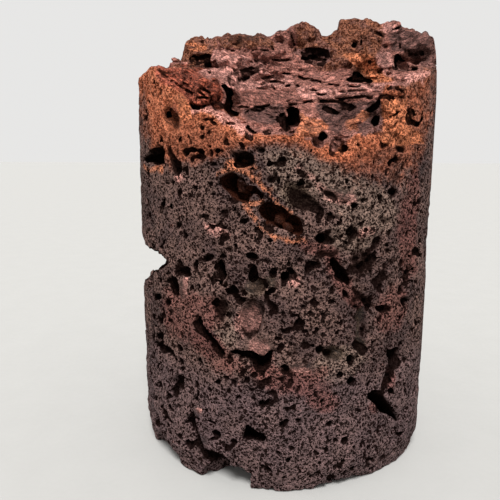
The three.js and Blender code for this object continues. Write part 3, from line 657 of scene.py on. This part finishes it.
def trim(field, crumbs):
    """Keeps the top under its skyline and the whole stone inside the solid's box."""
    limit = 6
    cut, x, y, z = field.box(*TOP_BOX)
    u, v, _ = seen(x, y, z)
    over = (along(SKYLINE, u) - v) * PIXEL + 0.7 * crumbs[cut]
    field.value[cut] = smooth_max(field.value[cut], np.clip(over, -limit, limit).astype(np.float32), 0.6)
    side = -SIDE_MOST - field.inside
    field.value = np.maximum(field.value, np.where(np.abs(field.value) < NEAR, side, field.value))
    low, high = np.array(CAD_BOX) / MM
    for axis, coordinate in enumerate((field.x, field.y, field.z)):
        beyond = np.maximum(coordinate - high[axis], low[axis] - coordinate) + INSIDE_BOX
        np.maximum(field.value, np.clip(beyond, -limit, limit), out=field.value)


def cut_forms(field, grain):
    """Cuts the outlines, grooves and pits of the side."""
    some = 0.4 * grain
    for deep, corners in OUTLINES:
        field.carve(field.prism(corners, deep), some)
    for deep, points in GROOVES:
        for layer in np.arange(-1, deep + 1.0):
            narrower = 1 - 0.06 * layer
            bed = [(*on_side(turn, height, layer), half * narrower) for turn, height, half in points]
            field.carve(field.line(bed), 1.4 * some)
    for turn, height, wide, tall, deep, tilt in PITS:
        radii = (wide, 1.5 * deep, tall)
        field.carve(field.pebble(on_side(turn, height), radii, rotation(turn, tilt)), some)


def nearest_seen(value, u, v, depth):
    """How far away the stone's nearest part is, in mm, at the place in the picture of each voxel."""
    row, column = ((part / 2).astype(int) for part in (v, u))
    nearest = np.full((row.max() + 1, column.max() + 1), 1e4, np.float32)
    skin = (value < 0) & (value > -1.5)
    np.minimum.at(nearest, (row[skin], column[skin]), depth[skin])
    return nearest[row, column]


def cut_seen(field, crumbs):
    """Cuts the caves and slits of the broken top where they show in the picture."""
    cut, x, y, z = field.box(*SEEN_BOX)
    u, v, depth = (part.astype(np.float32) for part in seen(x, y, z))
    value = field.value[cut]
    behind = depth - nearest_seen(value, u, v, depth)
    wobble = 0.8 * crumbs[cut]
    shapes = [(deep, corners, outline_distance, (u, v)) for deep, corners in SEEN_CAVES]
    for points in SEEN_SLITS:
        line = [(across, down, 0, half) for across, down, half in points]
        shapes.append((SLIT_DEPTH, line, line_distance, (u, v, 0 * u)))
    for deep, points, distance, places in shapes:
        across, down = zip(*[point[:2] for point in points])
        near = (u > min(across) - 3) & (u < max(across) + 3) & (v > min(down) - 3) & (v < max(down) + 3)
        near &= behind < 1.4 * deep + 2
        away = distance(points, *(place[near] for place in places)) * PIXEL
        away += np.minimum(0.5, 0.16 * deep) * wobble[near]
        bottom = value[near] + deep * (1 + 0.3 * wobble[near])
        hollow = np.minimum(-away, np.minimum(bottom, 1.4 * deep + 1 - behind[near]))
        value[near] = np.maximum(value[near], hollow)
    field.value[cut] = value


def open_foam(field, closed, spacing, threshold, deep, seed):
    """Opens the pores of a sponge to a depth from the surface, fewer where it is closed."""
    sponge = field.noise((spacing, spacing, spacing), seed) - threshold - 3 * closed
    np.maximum(field.value, np.minimum(0.8 * spacing * sponge, field.value + deep), out=field.value)


# The steps from a cell to itself and to the 26 round it.
STEPS = np.array(list(np.ndindex(3, 3, 3))) - 1


def scattered(points, gap, most, draw):
    """Some of the points in random order, no two nearer than gap."""
    taken = {}
    chosen = []
    for index in draw.permutation(len(points)):
        point = points[index]
        cell = (point // gap).astype(int)
        near = (taken.get(tuple(cell + step)) for step in STEPS)
        if all(other is None or ((other - point) ** 2).sum() > gap * gap for other in near):
            taken[tuple(cell)] = point
            chosen.append(index)
            if len(chosen) == most:
                break
    return np.array(chosen)


# Bubbles all over: how many, least and most radius in mm, and least gap between their middles.
BUBBLES = [(60, 1.6, 2.6, 10.0), (420, 1.1, 1.7, 4.5), (2400, 0.8, 1.1, 2.6)]

# Crumbs that stick inside the caverns: turn, height, how far in, and radius.
CRUMBS = [
    (-14.4, 137.6, 4.5, 2.4), (-12.2, 136.2, 5.5, 2.0), (-9.2, 131.6, 2.6, 2.2), (-8.6, 129.6, 2.4, 1.8),
    (-1.2, 123, 6.0, 2.4), (1.4, 120.4, 5.0, 1.8), (-51, 147, 9.5, 3.0),
]


def add_crumbs(field, grain):
    """Joins the crumbs on."""
    for turn, height, deep, radius in CRUMBS:
        field.join(field.pebble(on_side(turn, height, deep), [radius] * 3), 0.7 * grain, 0.6)


def blow_bubbles(field, closed, grain):
    """Carves the bubbles where the stone is open, and not on its foot."""
    shell = np.argwhere((np.abs(field.value) < 0.5 * VOXEL) & (closed < 0.3))
    points = (shell + field.low) * VOXEL
    points = points[points[:, 2] > 1.0]
    wobble = 0.3 * grain
    for order, (count, least, most, gap) in enumerate(BUBBLES):
        draw = np.random.default_rng(SEED + 50 + order)
        chosen = points[scattered(points, gap, count, draw)]
        for point in chosen:
            radius = least + (most - least) * draw.random() ** 2
            radii = radius * np.array((1.0, 0.8 + 0.4 * draw.random(), 0.6 + 0.5 * draw.random()))
            turned = random_rotation(draw)
            field.carve(field.pebble(point + draw.normal(0, 0.25 * radius, 3), radii, turned), wobble, 0.3)


def stone(field):
    """The field's surface as an object, its mesh cut down to the set number of triangles."""
    points, quads = field.mesh()
    mesh = bpy.data.meshes.new("scoria")
    mesh.vertices.add(len(points))
    mesh.vertices.foreach_set("co", (points * MM).astype(np.float32).ravel())
    mesh.loops.add(quads.size)
    mesh.loops.foreach_set("vertex_index", quads[:, ::-1].astype(np.int32).ravel())
    mesh.polygons.add(len(quads))
    mesh.polygons.foreach_set("loop_start", np.arange(0, quads.size, 4, dtype=np.int32))
    mesh.update(calc_edges=True)
    mesh.validate()
    piece = put_in_scene("scoria", mesh)
    cut = piece.modifiers.new("simplify", "DECIMATE")
    cut.use_collapse_triangulate = True
    cut.ratio = TRIANGLES / (2 * len(mesh.polygons))
    graph = bpy.context.evaluated_depsgraph_get()
    made = bpy.data.meshes.new_from_object(piece.evaluated_get(graph))
    made.polygons.foreach_set("use_smooth", [False] * len(made.polygons))
    piece.modifiers.clear()
    piece.data = made
    bpy.data.meshes.remove(mesh)
    return piece


camera()
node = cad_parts["scoria_rock"]
field = Field(node.data)
grain = field.noise((3.4, 3.4, 3.0), 20)
grit = field.noise((1.5, 1.5, 1.4), 5)
field.value = blurred(field.value, 1)
calm = patches_near(field, SMOOTH_PATCHES, SMOOTH_WALL)
raise_forms(field, grain)
broken = roughen(field, calm, grit)
crumbs = 0.6 * grain + 0.6 * grit
trim(field, crumbs)
skin = field.value.copy()
cut_seen(field, crumbs)
cut_forms(field, grain)
add_crumbs(field, grain)
closed = np.maximum(calm, broken * (0.35 + 0.65 * smooth_step(-field.z, -194, -188)))
patchy = 0.4 * field.noise((14, 14, 14), 21)
porous = patches_near(field, OPEN_PATCHES)
open_foam(field, closed, 2.4, 2.2 + patchy - 1.1 * porous, 2.8, 22)
open_foam(field, closed, 1.6, 1.5 - patchy - 0.4 * porous, 1.4, 23)
blow_bubbles(field, closed, grain)
trim(field, crumbs)
rock = stone(field)


def linear(red, green, blue):
    """A colour given as it shows on a screen, from 0 to 255, as the light it gives back."""
    shown = (red / 255, green / 255, blue / 255)
    return (*(c / 12.92 if c <= 0.04045 else ((c + 0.055) / 1.055) ** 2.4 for c in shown), 1.0)


# The lowest rust on the side: turn and height.
RUST_FOOT = [
    (-180, 158), (-160, 150), (-135, 160), (-112, 152), (-90, 170), (-75, 168), (-64, 156), (-57, 148),
    (-50, 143), (-40, 144), (-30, 146), (-20, 149), (-12, 151), (-5, 152.5), (5, 151), (8, 149), (12, 145),
    (20, 142), (30, 139), (45, 136), (54, 141), (62, 156), (80, 168), (100, 160), (125, 148), (150, 162),
    (180, 158),
]

# Oval patches of colour on the side: turn, height, half width, half height and tilt.
SPOTS = {
    "pale": [
        (-10, 81, 5, 8, 8), (-7, 68.6, 5.6, 4.6, 14), (6.8, 60, 6, 2.2, 0), (-36, 90, 2, 6, 0),
        (19.6, 132.6, 8, 2.6, 14), (-37, 139.6, 4, 2, 0), (5, 99, 3.4, 2.6, 0), (-22, 118, 7, 3, 20),
        (29, 117, 5, 3, 0), (-30.4, 33.4, 2, 1.6, 0),
    ],
    "gloss": [
        (4.6, 133.6, 7, 5, 34), (17.6, 64.8, 5, 3.4, 24), (28.4, 77, 2.2, 8, 4), (28, 67, 3.4, 4, -10),
        (-8.4, 94.6, 5, 4, 0), (-3, 97.6, 3, 3, 0), (46.5, 56, 2, 5, 0),
    ],
    "red": [
        (50, 112, 9, 22, -14), (53, 132, 6, 14, 0), (44, 82, 12, 12, 0), (-28, 82, 16, 8, 10),
        (-40, 78, 14, 13, 10), (-24, 64, 20, 7, 24), (4, 53, 18, 7, 8), (14, 46, 10, 6, 20),
        (36, 37, 4, 4, 0), (45, 47, 3, 8, 0), (-7, 66, 6, 6, 0), (118, 138, 6, 12, -10),
        (-134, 84, 12, 6, -30), (95, 60, 9, 12, 10), (-100, 96, 7, 13, 0), (168, 110, 12, 7, 20),
    ],
    "grey": [
        (8, 143, 22, 7, 16), (28, 130, 24, 10, 24), (4, 136, 12, 6, 30), (-18, 77, 7, 10, 0),
        (24, 116, 14, 9, 0), (20, 60, 13, 8, 0), (140, 120, 26, 20, 0), (-150, 130, 22, 14, 0),
        (-90, 130, 16, 20, 0), (110, 90, 16, 14, 0),
    ],
}

# Bands of colour along lines on the side: half width, and points as turn and height.
BANDS = {
    "orange": [
        (1.5, [(-20.6, 143), (-16.5, 143.2), (-13, 141.6), (-7.7, 138), (-4.6, 135), (-0.6, 130.4),
            (3.1, 127)]),
        (1.3, [(-11.7, 128.4), (-9.4, 125.6), (-6.5, 122), (-3.4, 119), (-0.3, 117), (2.9, 115.6),
            (8, 115.8)]),
        (1.4, [(-12.6, 130), (-9, 130), (-6, 130.8)]),
        (2.2, [(-63, 144.2), (-55, 142.4), (-47, 142.8)]),
        (1.8, [(-18, 146), (-13, 142.8), (-8, 144)]),
        (3.0, [(-160, 113), (-154, 110), (-150, 104)]),
        (2.6, [(166, 80), (172, 76), (174, 70)]),
        (2.6, [(86, 133), (92, 134), (98, 129)]),
    ],
    "red": [
        (1.8, [(-27.4, 77), (-25, 73), (-22, 70), (-18.6, 66)]),
        (3.4, [(7.9, 114.4), (12.1, 111.6), (16, 108), (16.5, 102), (19.4, 96), (24, 91), (28, 87)]),
        (3.4, [(-8, 58), (0, 57), (8, 56.4), (14, 58)]),
    ],
    "pale": [
        (1.8, [(4, 144.4), (8.6, 141), (12.9, 137), (17.5, 134), (23.4, 131.6)]),
    ],
}


def spots(places, across, up):
    """1 inside any of the oval patches, falling to 0 past their edges."""
    total = 0
    for turn, height, wide, tall, tilt in places:
        x, z = across - turn * DEGREE, up - height
        c, s = math.cos(math.radians(tilt)), math.sin(math.radians(tilt))
        size = np.hypot((c * x - s * z) / wide, (s * x + c * z) / tall)
        total = np.maximum(total, 1 - smooth_step(size, 0.5, 1.3))
    return total


def bands(lines, across, up):
    """1 along any of the lines, falling to 0 past their edges."""
    total = 0
    for half, points in lines:
        drawn = [(turn * DEGREE, height, 0, 0) for turn, height in points]
        away = line_distance(drawn, across, up, 0 * up)
        total = np.maximum(total, 1 - smooth_step(away / half, 0.4, 1.3))
    return total


def patches(outlines, across, up, full=-1.5, none=2.5):
    """1 inside any of the outlines, falling to 0 between two distances from their edges."""
    total = 0
    for corners in outlines:
        total = np.maximum(total, 1 - smooth_step(outline_distance(corners, across, up), full, none))
    return total


def zones(field, points):
    """Where each finish, painted shade and painted highlight lies, from 0 to 1 at each point."""
    x, y, z = points.T
    turn = turn_of(x, y)
    inside = RADIUS - np.hypot(x, y)
    wander = field.read(field.noise((8, 8, 8), 30), points)
    drift = field.read(field.noise((22, 22, 22), 31), points)
    across = turn * DEGREE + 0.7 * wander
    up = z + 0.7 * wander
    edge = along(BROKEN_EDGE, turn)
    broken = smooth_step(inside, 2.0, 4.5) * smooth_step(z - edge, -2, 4)

    # Rust on the upper side, thinner on the back, on the right and on the strip beside the notch.
    away = smooth_step(np.abs(turn), 60, 90)
    above = up - along(RUST_FOOT, turn)
    soft = 7 + 7 * smooth_step(np.abs(turn + 8), 16, 40)
    rust = smooth_step((above + 8 * away * drift) / soft, -0.8, 1.1)
    rust = rust * (1 - 0.5 * away) * (1 - 0.34 * smooth_step(turn, 20, 42))
    strip = smooth_step(-turn + wander, 51, 58) * smooth_step(-z, -183, -176) * smooth_step(turn, -90, -75)
    strip = np.maximum(strip, 0.8 * smooth_step(turn + 2 * wander, 54, 66) * smooth_step(-turn, -100, -85))

    # How much stone lies close round each point, which gives the painted shade in nooks, and whether the
    # stone there faces up.
    solid = (field.value < 0).astype(np.float32)
    close = field.read(blurred(solid, 2), points)
    spread = blurred(blurred(solid, 6), 4)
    wide = field.read(spread, points)
    over = np.array((0, 0, 4))
    faces_up = smooth_step(field.read(spread, points - over) - field.read(spread, points + over), 0.45, 0.75)

    # What the picture shows of the broken top, and what lies behind its skyline.
    far = smooth_step(y + 6 * wander + 14 * faces_up * smooth_step(z, 192, 202), 4, 16)
    behind = far * broken
    shown = (1 - far) * smooth_step(z, 148, 152)
    u, v, _ = seen(x, y, z)
    u, v = u + (1.2 + 7 * faces_up) * wander, v + 1.2 * drift
    drawn = {name: shown * patches(outlines, u, v) for name, outlines in SEEN_COLOURS.items()}
    oval = {name: spots(places, across, up) for name, places in SPOTS.items()}
    band = {name: bands(lines, across, up) for name, lines in BANDS.items()}

    # The twin cavern, and how deep a point lies below the side, which gives painted shade in pits and
    # recesses.
    twin = [[(turned * DEGREE, height) for turned, height in corners] for _, corners in OUTLINES[:2]]
    under = smooth_step(edge - z, -3, 3) * smooth_step(z, 3, 8)
    cavern = smooth_step(inside, 1.5, 4.5) * under * patches(twin, turn * DEGREE, z, 1.0, 3.0)
    near_calm = field.read(calm, points)
    # Painted shade in places sunk below the side, under the broken edge.
    recess_shade = 0.34 * smooth_step(inside, 1.2, 3.4) * under * (1 - 0.8 * near_calm)
    masks = {
        "rust": rust * (1 - broken) * (1 - 0.42 * strip),
        "mauve": broken * (1 - 0.8 * behind),
        "knob": np.maximum(drawn["knob"], behind) * broken,
        "ruddy": np.maximum(drawn["ruddy"], 0.8 * behind * smooth_step(drift + 0.3 * wander, 0.3, 1.0)),
        # Painted shade drawn under the ledges and in the hollows, and darker patches at random behind the
        # skyline.
        "shade_and_dark_patches": np.maximum(drawn["shade_and_dark_patches"], 0.8 * behind * smooth_step(0.3 * wander - drift, 0.4, 1.1)),
        "orange": np.maximum(0.62 * band["orange"], drawn["orange"]),
        "red": np.maximum(oval["red"], band["red"]) * (1 - broken),
        # Pale patches, with a painted highlight along the crest of the hollow's rim.
        "pale": np.maximum.reduce([0.75 * oval["pale"], 0.5 * band["pale"], drawn["pale"]]),
        "gloss": oval["gloss"],
        "grey": oval["grey"],
        "cool": smooth_step(-up - 3 * drift, -62, -44),
        "high": np.maximum(smooth_step(above + 3 * drift, 3, 24), smooth_step(z - edge, -9, -3)),
        "calm": near_calm,
        # Painted shade in nooks, where much stone lies close round.
        "painted_nook_shade": smooth_step(0.5 * close + 0.5 * wide, 0.52, 0.85),
        "cavern": cavern,
        # Painted shade in pits and recesses, by how deep they lie.
        "deep": np.maximum(-0.25 * field.read(skin, points), recess_shade),
    }
    return {name: np.clip(mask, 0, 1).astype(np.float32) for name, mask in masks.items()}


def paint_zones(piece, field):
    mesh = piece.data
    for name, mask in zones(field, vertices(mesh)).items():
        mesh.attributes.new(name, "FLOAT", "POINT").data.foreach_set("value", mask)


class Nodes:
    """Builds a material's nodes with few words."""

    def __init__(self, name):
        self.material = bpy.data.materials.new(name)
        self.material.use_nodes = True
        self.tree = self.material.node_tree
        self.shader = self.tree.nodes["Principled BSDF"]

    def add(self, kind, settings=None, **inputs):
        node = self.tree.nodes.new(kind)
        for key, value in (settings or {}).items():
            setattr(node, key, value)
        for key, value in inputs.items():
            self.put(node.inputs[key.replace("_", " ")], value)
        return node

    def put(self, socket, value):
        if isinstance(value, bpy.types.NodeSocket):
            self.tree.links.new(value, socket)
        else:
            socket.default_value = value

    def mask(self, name):
        return self.add("ShaderNodeAttribute", {"attribute_name": name}).outputs["Fac"]

    def math(self, operation, *values, kind="ShaderNodeMath"):
        node = self.add(kind, {"operation": operation})
        for socket, value in zip(node.inputs, values):
            self.put(socket, value)
        return node.outputs[0]

    def times(self, a, b):
        return self.math("MULTIPLY", a, b)

    def plus(self, a, b):
        return self.math("ADD", a, b)

    def less(self, a, b):
        return self.math("SUBTRACT", a, b)

    def most(self, a, b):
        return self.math("MAXIMUM", a, b)

    def scaled(self, vector, scale):
        """A vector, or a colour, times a number."""
        node = self.add("ShaderNodeVectorMath", {"operation": "SCALE"}, Scale=scale)
        self.put(node.inputs[0], vector)
        return node.outputs[0]

    def steps(self, value, low, high, start=0.0, end=1.0):
        """From start to end, smoothly, as a value goes from low to high."""
        limits = {"From_Min": low, "From_Max": high, "To_Min": start, "To_Max": end}
        node = self.add("ShaderNodeMapRange", {"interpolation_type": "SMOOTHSTEP"}, Value=value, **limits)
        return node.outputs["Result"]

    def mottled(self, noise, low, high, a, b):
        """One colour turning into another where a noise goes from low to high."""
        return self.mix(self.steps(noise, low, high), a, b)

    def mix(self, factor, a, b):
        node = self.add("ShaderNodeMix", {"data_type": "RGBA"})
        for socket, value in zip((node.inputs[0], node.inputs[6], node.inputs[7]), (factor, a, b)):
            self.put(socket, value)
        return node.outputs[2]

    def noise(self, where, scale, detail=4.0, rough=0.6):
        node = self.add("ShaderNodeTexNoise", Vector=where, Scale=scale, Detail=detail, Roughness=rough)
        return node.outputs["Fac"]

    def pores(self, where, scale, least, most):
        """1 in round pores, of radius least to most where their grid is 1, and 0 between them."""
        cells = self.add("ShaderNodeTexVoronoi", Vector=where, Scale=scale).outputs
        chance = self.add("ShaderNodeSeparateColor", Color=cells["Color"]).outputs[0]
        depth = self.less(self.steps(chance, 0.0, 1.0, least, most), cells["Distance"])
        return self.steps(depth, 0.0, 0.12)


# Painted shade for pores, pits and nooks.
PAINTED_SHADE = linear(20, 11, 9)
RUST_LOW = linear(128, 73, 52)
# Painted shade for the pores in the rust.
RUST_PORE_SHADE = linear(58, 27, 19)
CAVERN = linear(120, 64, 44)
STONE = linear(108, 82, 74)
STONE_DARK = linear(74, 55, 52)
GREY = linear(114, 93, 82)
COOL = linear(92, 73, 74)
RUST = linear(198, 118, 84)
RUST_DARK = linear(138, 74, 48)
ORANGE = linear(198, 118, 80)
MAUVE = linear(188, 125, 111)
MAUVE_DARK = linear(132, 83, 72)
RUDDY = linear(172, 90, 68)
# Painted shade under the ledges and in the hollows, also the darker patches behind the skyline.
SHADE_AND_DARK_PATCH = linear(114, 78, 71)
BROWN = linear(138, 86, 63)
BROWN_DARK = linear(92, 58, 48)
RED = linear(113, 62, 54)
# Pale patches, and the painted highlight along the crest of the hollow's rim.
PALE = linear(206, 146, 134)
OLIVE = linear(98, 80, 64)


def scoria():
    n = Nodes("scoria")
    here = n.add("ShaderNodeTexCoord").outputs["Object"]
    sway = n.add("ShaderNodeTexNoise", Vector=here, Scale=620.0, Detail=2.0).outputs["Color"]
    bent = n.math("ADD", here, n.scaled(sway, 0.0014), kind="ShaderNodeVectorMath")
    wide = n.noise(here, 55.0)
    mid = n.noise(here, 210.0)
    small = n.noise(here, 900.0, 3.0, 0.65)
    grit = n.noise(here, 2600.0, 2.0, 0.7)
    speck = n.noise(here, 1500.0, 2.0, 0.7)
    calm, knob, rusty, inner = (n.mask(name) for name in ("calm", "knob", "rust", "cavern"))

    def edged(name, low=0.15, high=0.85):
        """A mask with a ragged edge."""
        return n.steps(n.plus(n.mask(name), n.less(mid, 0.5)), low, high)

    def crest(where, scale, detail, rough=0.6):
        """0 on the crease lines of a noise, more away from them."""
        return n.math("ABSOLUTE", n.less(n.noise(where, scale, detail, rough), 0.5))

    # Creases along the layers of the hollow's wall, and slanting ones on the smooth patches. They shape the
    # bump, and the colour is darkened along them as painted shade.
    x, y, z = n.add("ShaderNodeSeparateXYZ", Vector=here).outputs
    rise = n.times(n.math("POWER", n.less(x, BOW_MIDDLE * MM), 2.0), BOW / MM)
    layers = n.add("ShaderNodeCombineXYZ", X=x, Y=y, Z=n.times(n.less(z, rise), 2.6)).outputs[0]
    folded = n.times(n.mask("mauve"), n.less(1.0, knob))
    wavy = n.most(folded, n.steps(calm, 0.0, 0.8, 0.0, 0.95))
    crease = n.most(crest(layers, 190.0, 6.0, 0.66), n.times(n.less(1.0, wavy), 0.1))
    slope = n.plus(n.times(x, 0.55), n.times(z, 0.84))
    drop = n.less(n.times(x, 0.84), n.times(z, 0.55))
    slanted = n.add("ShaderNodeCombineXYZ", X=drop, Y=y, Z=n.times(slope, 3.4)).outputs[0]
    folds = n.most(n.mask("ruddy"), n.steps(calm, 0.1, 0.8, 0.0, 0.75))
    tilted = n.most(crest(slanted, 130.0, 4.0), n.less(0.1, n.times(folds, 0.1)))

    # Pores of three sizes.
    coarse = n.times(n.pores(bent, 430.0, 0.1, 0.5), n.steps(n.noise(here, 330.0, 3.0), 0.48, 0.56))
    coarse = n.times(coarse, n.less(1.0, n.times(rusty, 0.9)))
    medium = n.pores(bent, 760.0, 0.2, 0.56)
    fine = n.times(n.pores(bent, 1300.0, 0.3, 0.64), n.steps(small, 0.42, 0.5))
    whole = n.most(n.times(calm, 0.8), n.times(folded, 0.8))
    foam = n.times(n.most(coarse, n.most(medium, fine)), n.less(1.0, whole))

    # Layers of colour, from the lowest up: the place, the share of the colour there, and the colour. Among
    # them are painted shade under the ledges and in the hollows, and a painted highlight along the crest of
    # the hollow's rim.
    colour = n.mottled(wide, 0.38, 0.62, STONE_DARK, STONE)
    colour = n.mix(n.steps(mid, 0.35, 0.7, 0.0, 0.5), colour, STONE_DARK)
    bright_rust = n.times(n.steps(rusty, 0.35, 0.95), n.steps(n.mask("high"), 0.0, 1.0, 0.2, 1.0))
    rust = n.mix(bright_rust, RUST_LOW, n.mottled(mid, 0.35, 0.62, RUST, RUST_DARK))
    paints = [
        (edged("grey"), 0.75, GREY),
        (n.mask("cool"), 0.6, COOL),
        (edged("red", 0.1, 1.0), 0.45, RED),
        (edged("rust"), 1.0, rust),
        (n.mask("mauve"), 1.0, n.mottled(mid, 0.38, 0.66, MAUVE, MAUVE_DARK)),
        (edged("ruddy"), 1.0, RUDDY),
        (edged("knob"), 1.0, n.mottled(mid, 0.38, 0.62, BROWN, BROWN_DARK)),
        # Painted shade under the ledges and in the hollows.
        (edged("shade_and_dark_patches"), 1.0, SHADE_AND_DARK_PATCH),
        (edged("orange"), 0.75, ORANGE),
        # Pale patches, and the painted highlight along the crest of the hollow's rim.
        (edged("pale"), 0.7, PALE),
        (edged("gloss"), 0.5, OLIVE),
    ]
    for place, share, paint in paints:
        colour = n.mix(n.times(place, share), colour, paint)
    # Tone that differs at random, darkened along the creases of the layers and the slanting folds as painted
    # shade.
    tone_and_crease_shade = n.times(n.steps(speck, 0.38, 0.62, 0.7, 1.6), n.steps(mid, 0.3, 0.7, 0.8, 1.25))
    tone_and_crease_shade = n.times(tone_and_crease_shade, n.steps(crease, 0.01, 0.035, 0.25, 1.0))
    tone_and_crease_shade = n.times(tone_and_crease_shade, n.steps(tilted, 0.006, 0.05, 0.3, 1.0))
    colour = n.scaled(colour, tone_and_crease_shade)

    # Painted shade: the pores are darkened, to a dark brown in the rust, and the caverns take their own
    # rusty colour.
    warm = n.most(edged("rust"), n.times(knob, 0.8))
    shaded_pores = n.times(foam, n.steps(warm, 0.0, 1.0, 0.97, 0.78))
    colour = n.mix(shaded_pores, colour, n.mix(warm, PAINTED_SHADE, RUST_PORE_SHADE))
    colour = n.mix(n.times(inner, 0.8), colour, CAVERN)
    # Painted shade in pits, deep places and nooks, less in the caverns.
    sunk = n.plus(n.mask("deep"), n.times(n.less(small, 0.5), 0.1))
    pit_shade = n.times(n.steps(sunk, 0.12, 0.3), n.steps(inner, 0.0, 1.0, 0.94, 0.74))
    dark = n.most(pit_shade, n.times(n.mask("painted_nook_shade"), n.steps(inner, 0.0, 1.0, 0.6, 0.5)))
    n.put(n.shader.inputs["Base Color"], n.mix(dark, colour, PAINTED_SHADE))
    n.put(n.shader.inputs["Roughness"], n.steps(n.times(n.mask("gloss"), grit), 0.1, 0.5, 0.9, 0.4))
    n.put(n.shader.inputs["Specular IOR Level"], n.steps(n.most(foam, dark), 0.0, 0.7, 0.22, 0.0))

    height = n.times(n.less(1.0, foam), 0.5)
    shares = [(speck, 0.5), (small, 0.5), (n.steps(crease, 0.0, 0.1), 0.5), (n.steps(tilted, 0.0, 0.1), 0.7)]
    for part, share in shares:
        height = n.plus(height, n.times(part, share))
    bump = n.add("ShaderNodeBump", Strength=1.0, Distance=0.0016, Height=height)
    n.put(n.shader.inputs["Normal"], bump.outputs["Normal"])
    return n.material


# The floor's half size in metres, and the light: the sky's strength, then the sun's strength, width in
# degrees and direction.
FLOOR_HALF = 12.0
SKY = 0.8
SUN = 4.8
SUN_SPREAD = 20.0
SUN_FROM = (0.02, -0.8, 1.15)


def floor():
    mesh = bpy.data.meshes.new("floor")
    half = FLOOR_HALF
    corners = [(-half, -half, 0), (half, -half, 0), (half, half, 0), (-half, half, 0)]
    mesh.from_pydata(corners, [], [(0, 1, 2, 3)])
    plane = put_in_scene("floor", mesh)
    n = Nodes("floor")
    here = n.add("ShaderNodeTexCoord").outputs["Object"]
    grey = n.mix(n.noise(here, 40.0), linear(162, 161, 158), linear(168, 167, 164))
    n.put(n.shader.inputs["Base Color"], grey)
    n.put(n.shader.inputs["Roughness"], n.steps(n.noise(here, 300.0), 0.3, 0.7, 0.75, 0.9))
    mesh.materials.append(n.material)


def lights():
    world = bpy.data.worlds.new("studio")
    world.use_nodes = True
    sky = world.node_tree.nodes["Background"].inputs
    sky["Color"].default_value = (1.0, 0.995, 0.985, 1.0)
    sky["Strength"].default_value = SKY
    scene = bpy.context.scene
    scene.world = world
    scene.view_settings.view_transform = "Standard"
    lamp = bpy.data.lights.new("key", "SUN")
    lamp.energy = SUN
    lamp.angle = math.radians(SUN_SPREAD)
    holder = put_in_scene("key", lamp)
    holder.rotation_euler = Vector(SUN_FROM).to_track_quat("Z", "Y").to_euler()


paint_zones(rock, field)
rock.data.materials.append(scoria())
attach(rock, "root")
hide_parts("scoria_rock")
floor()
lights()
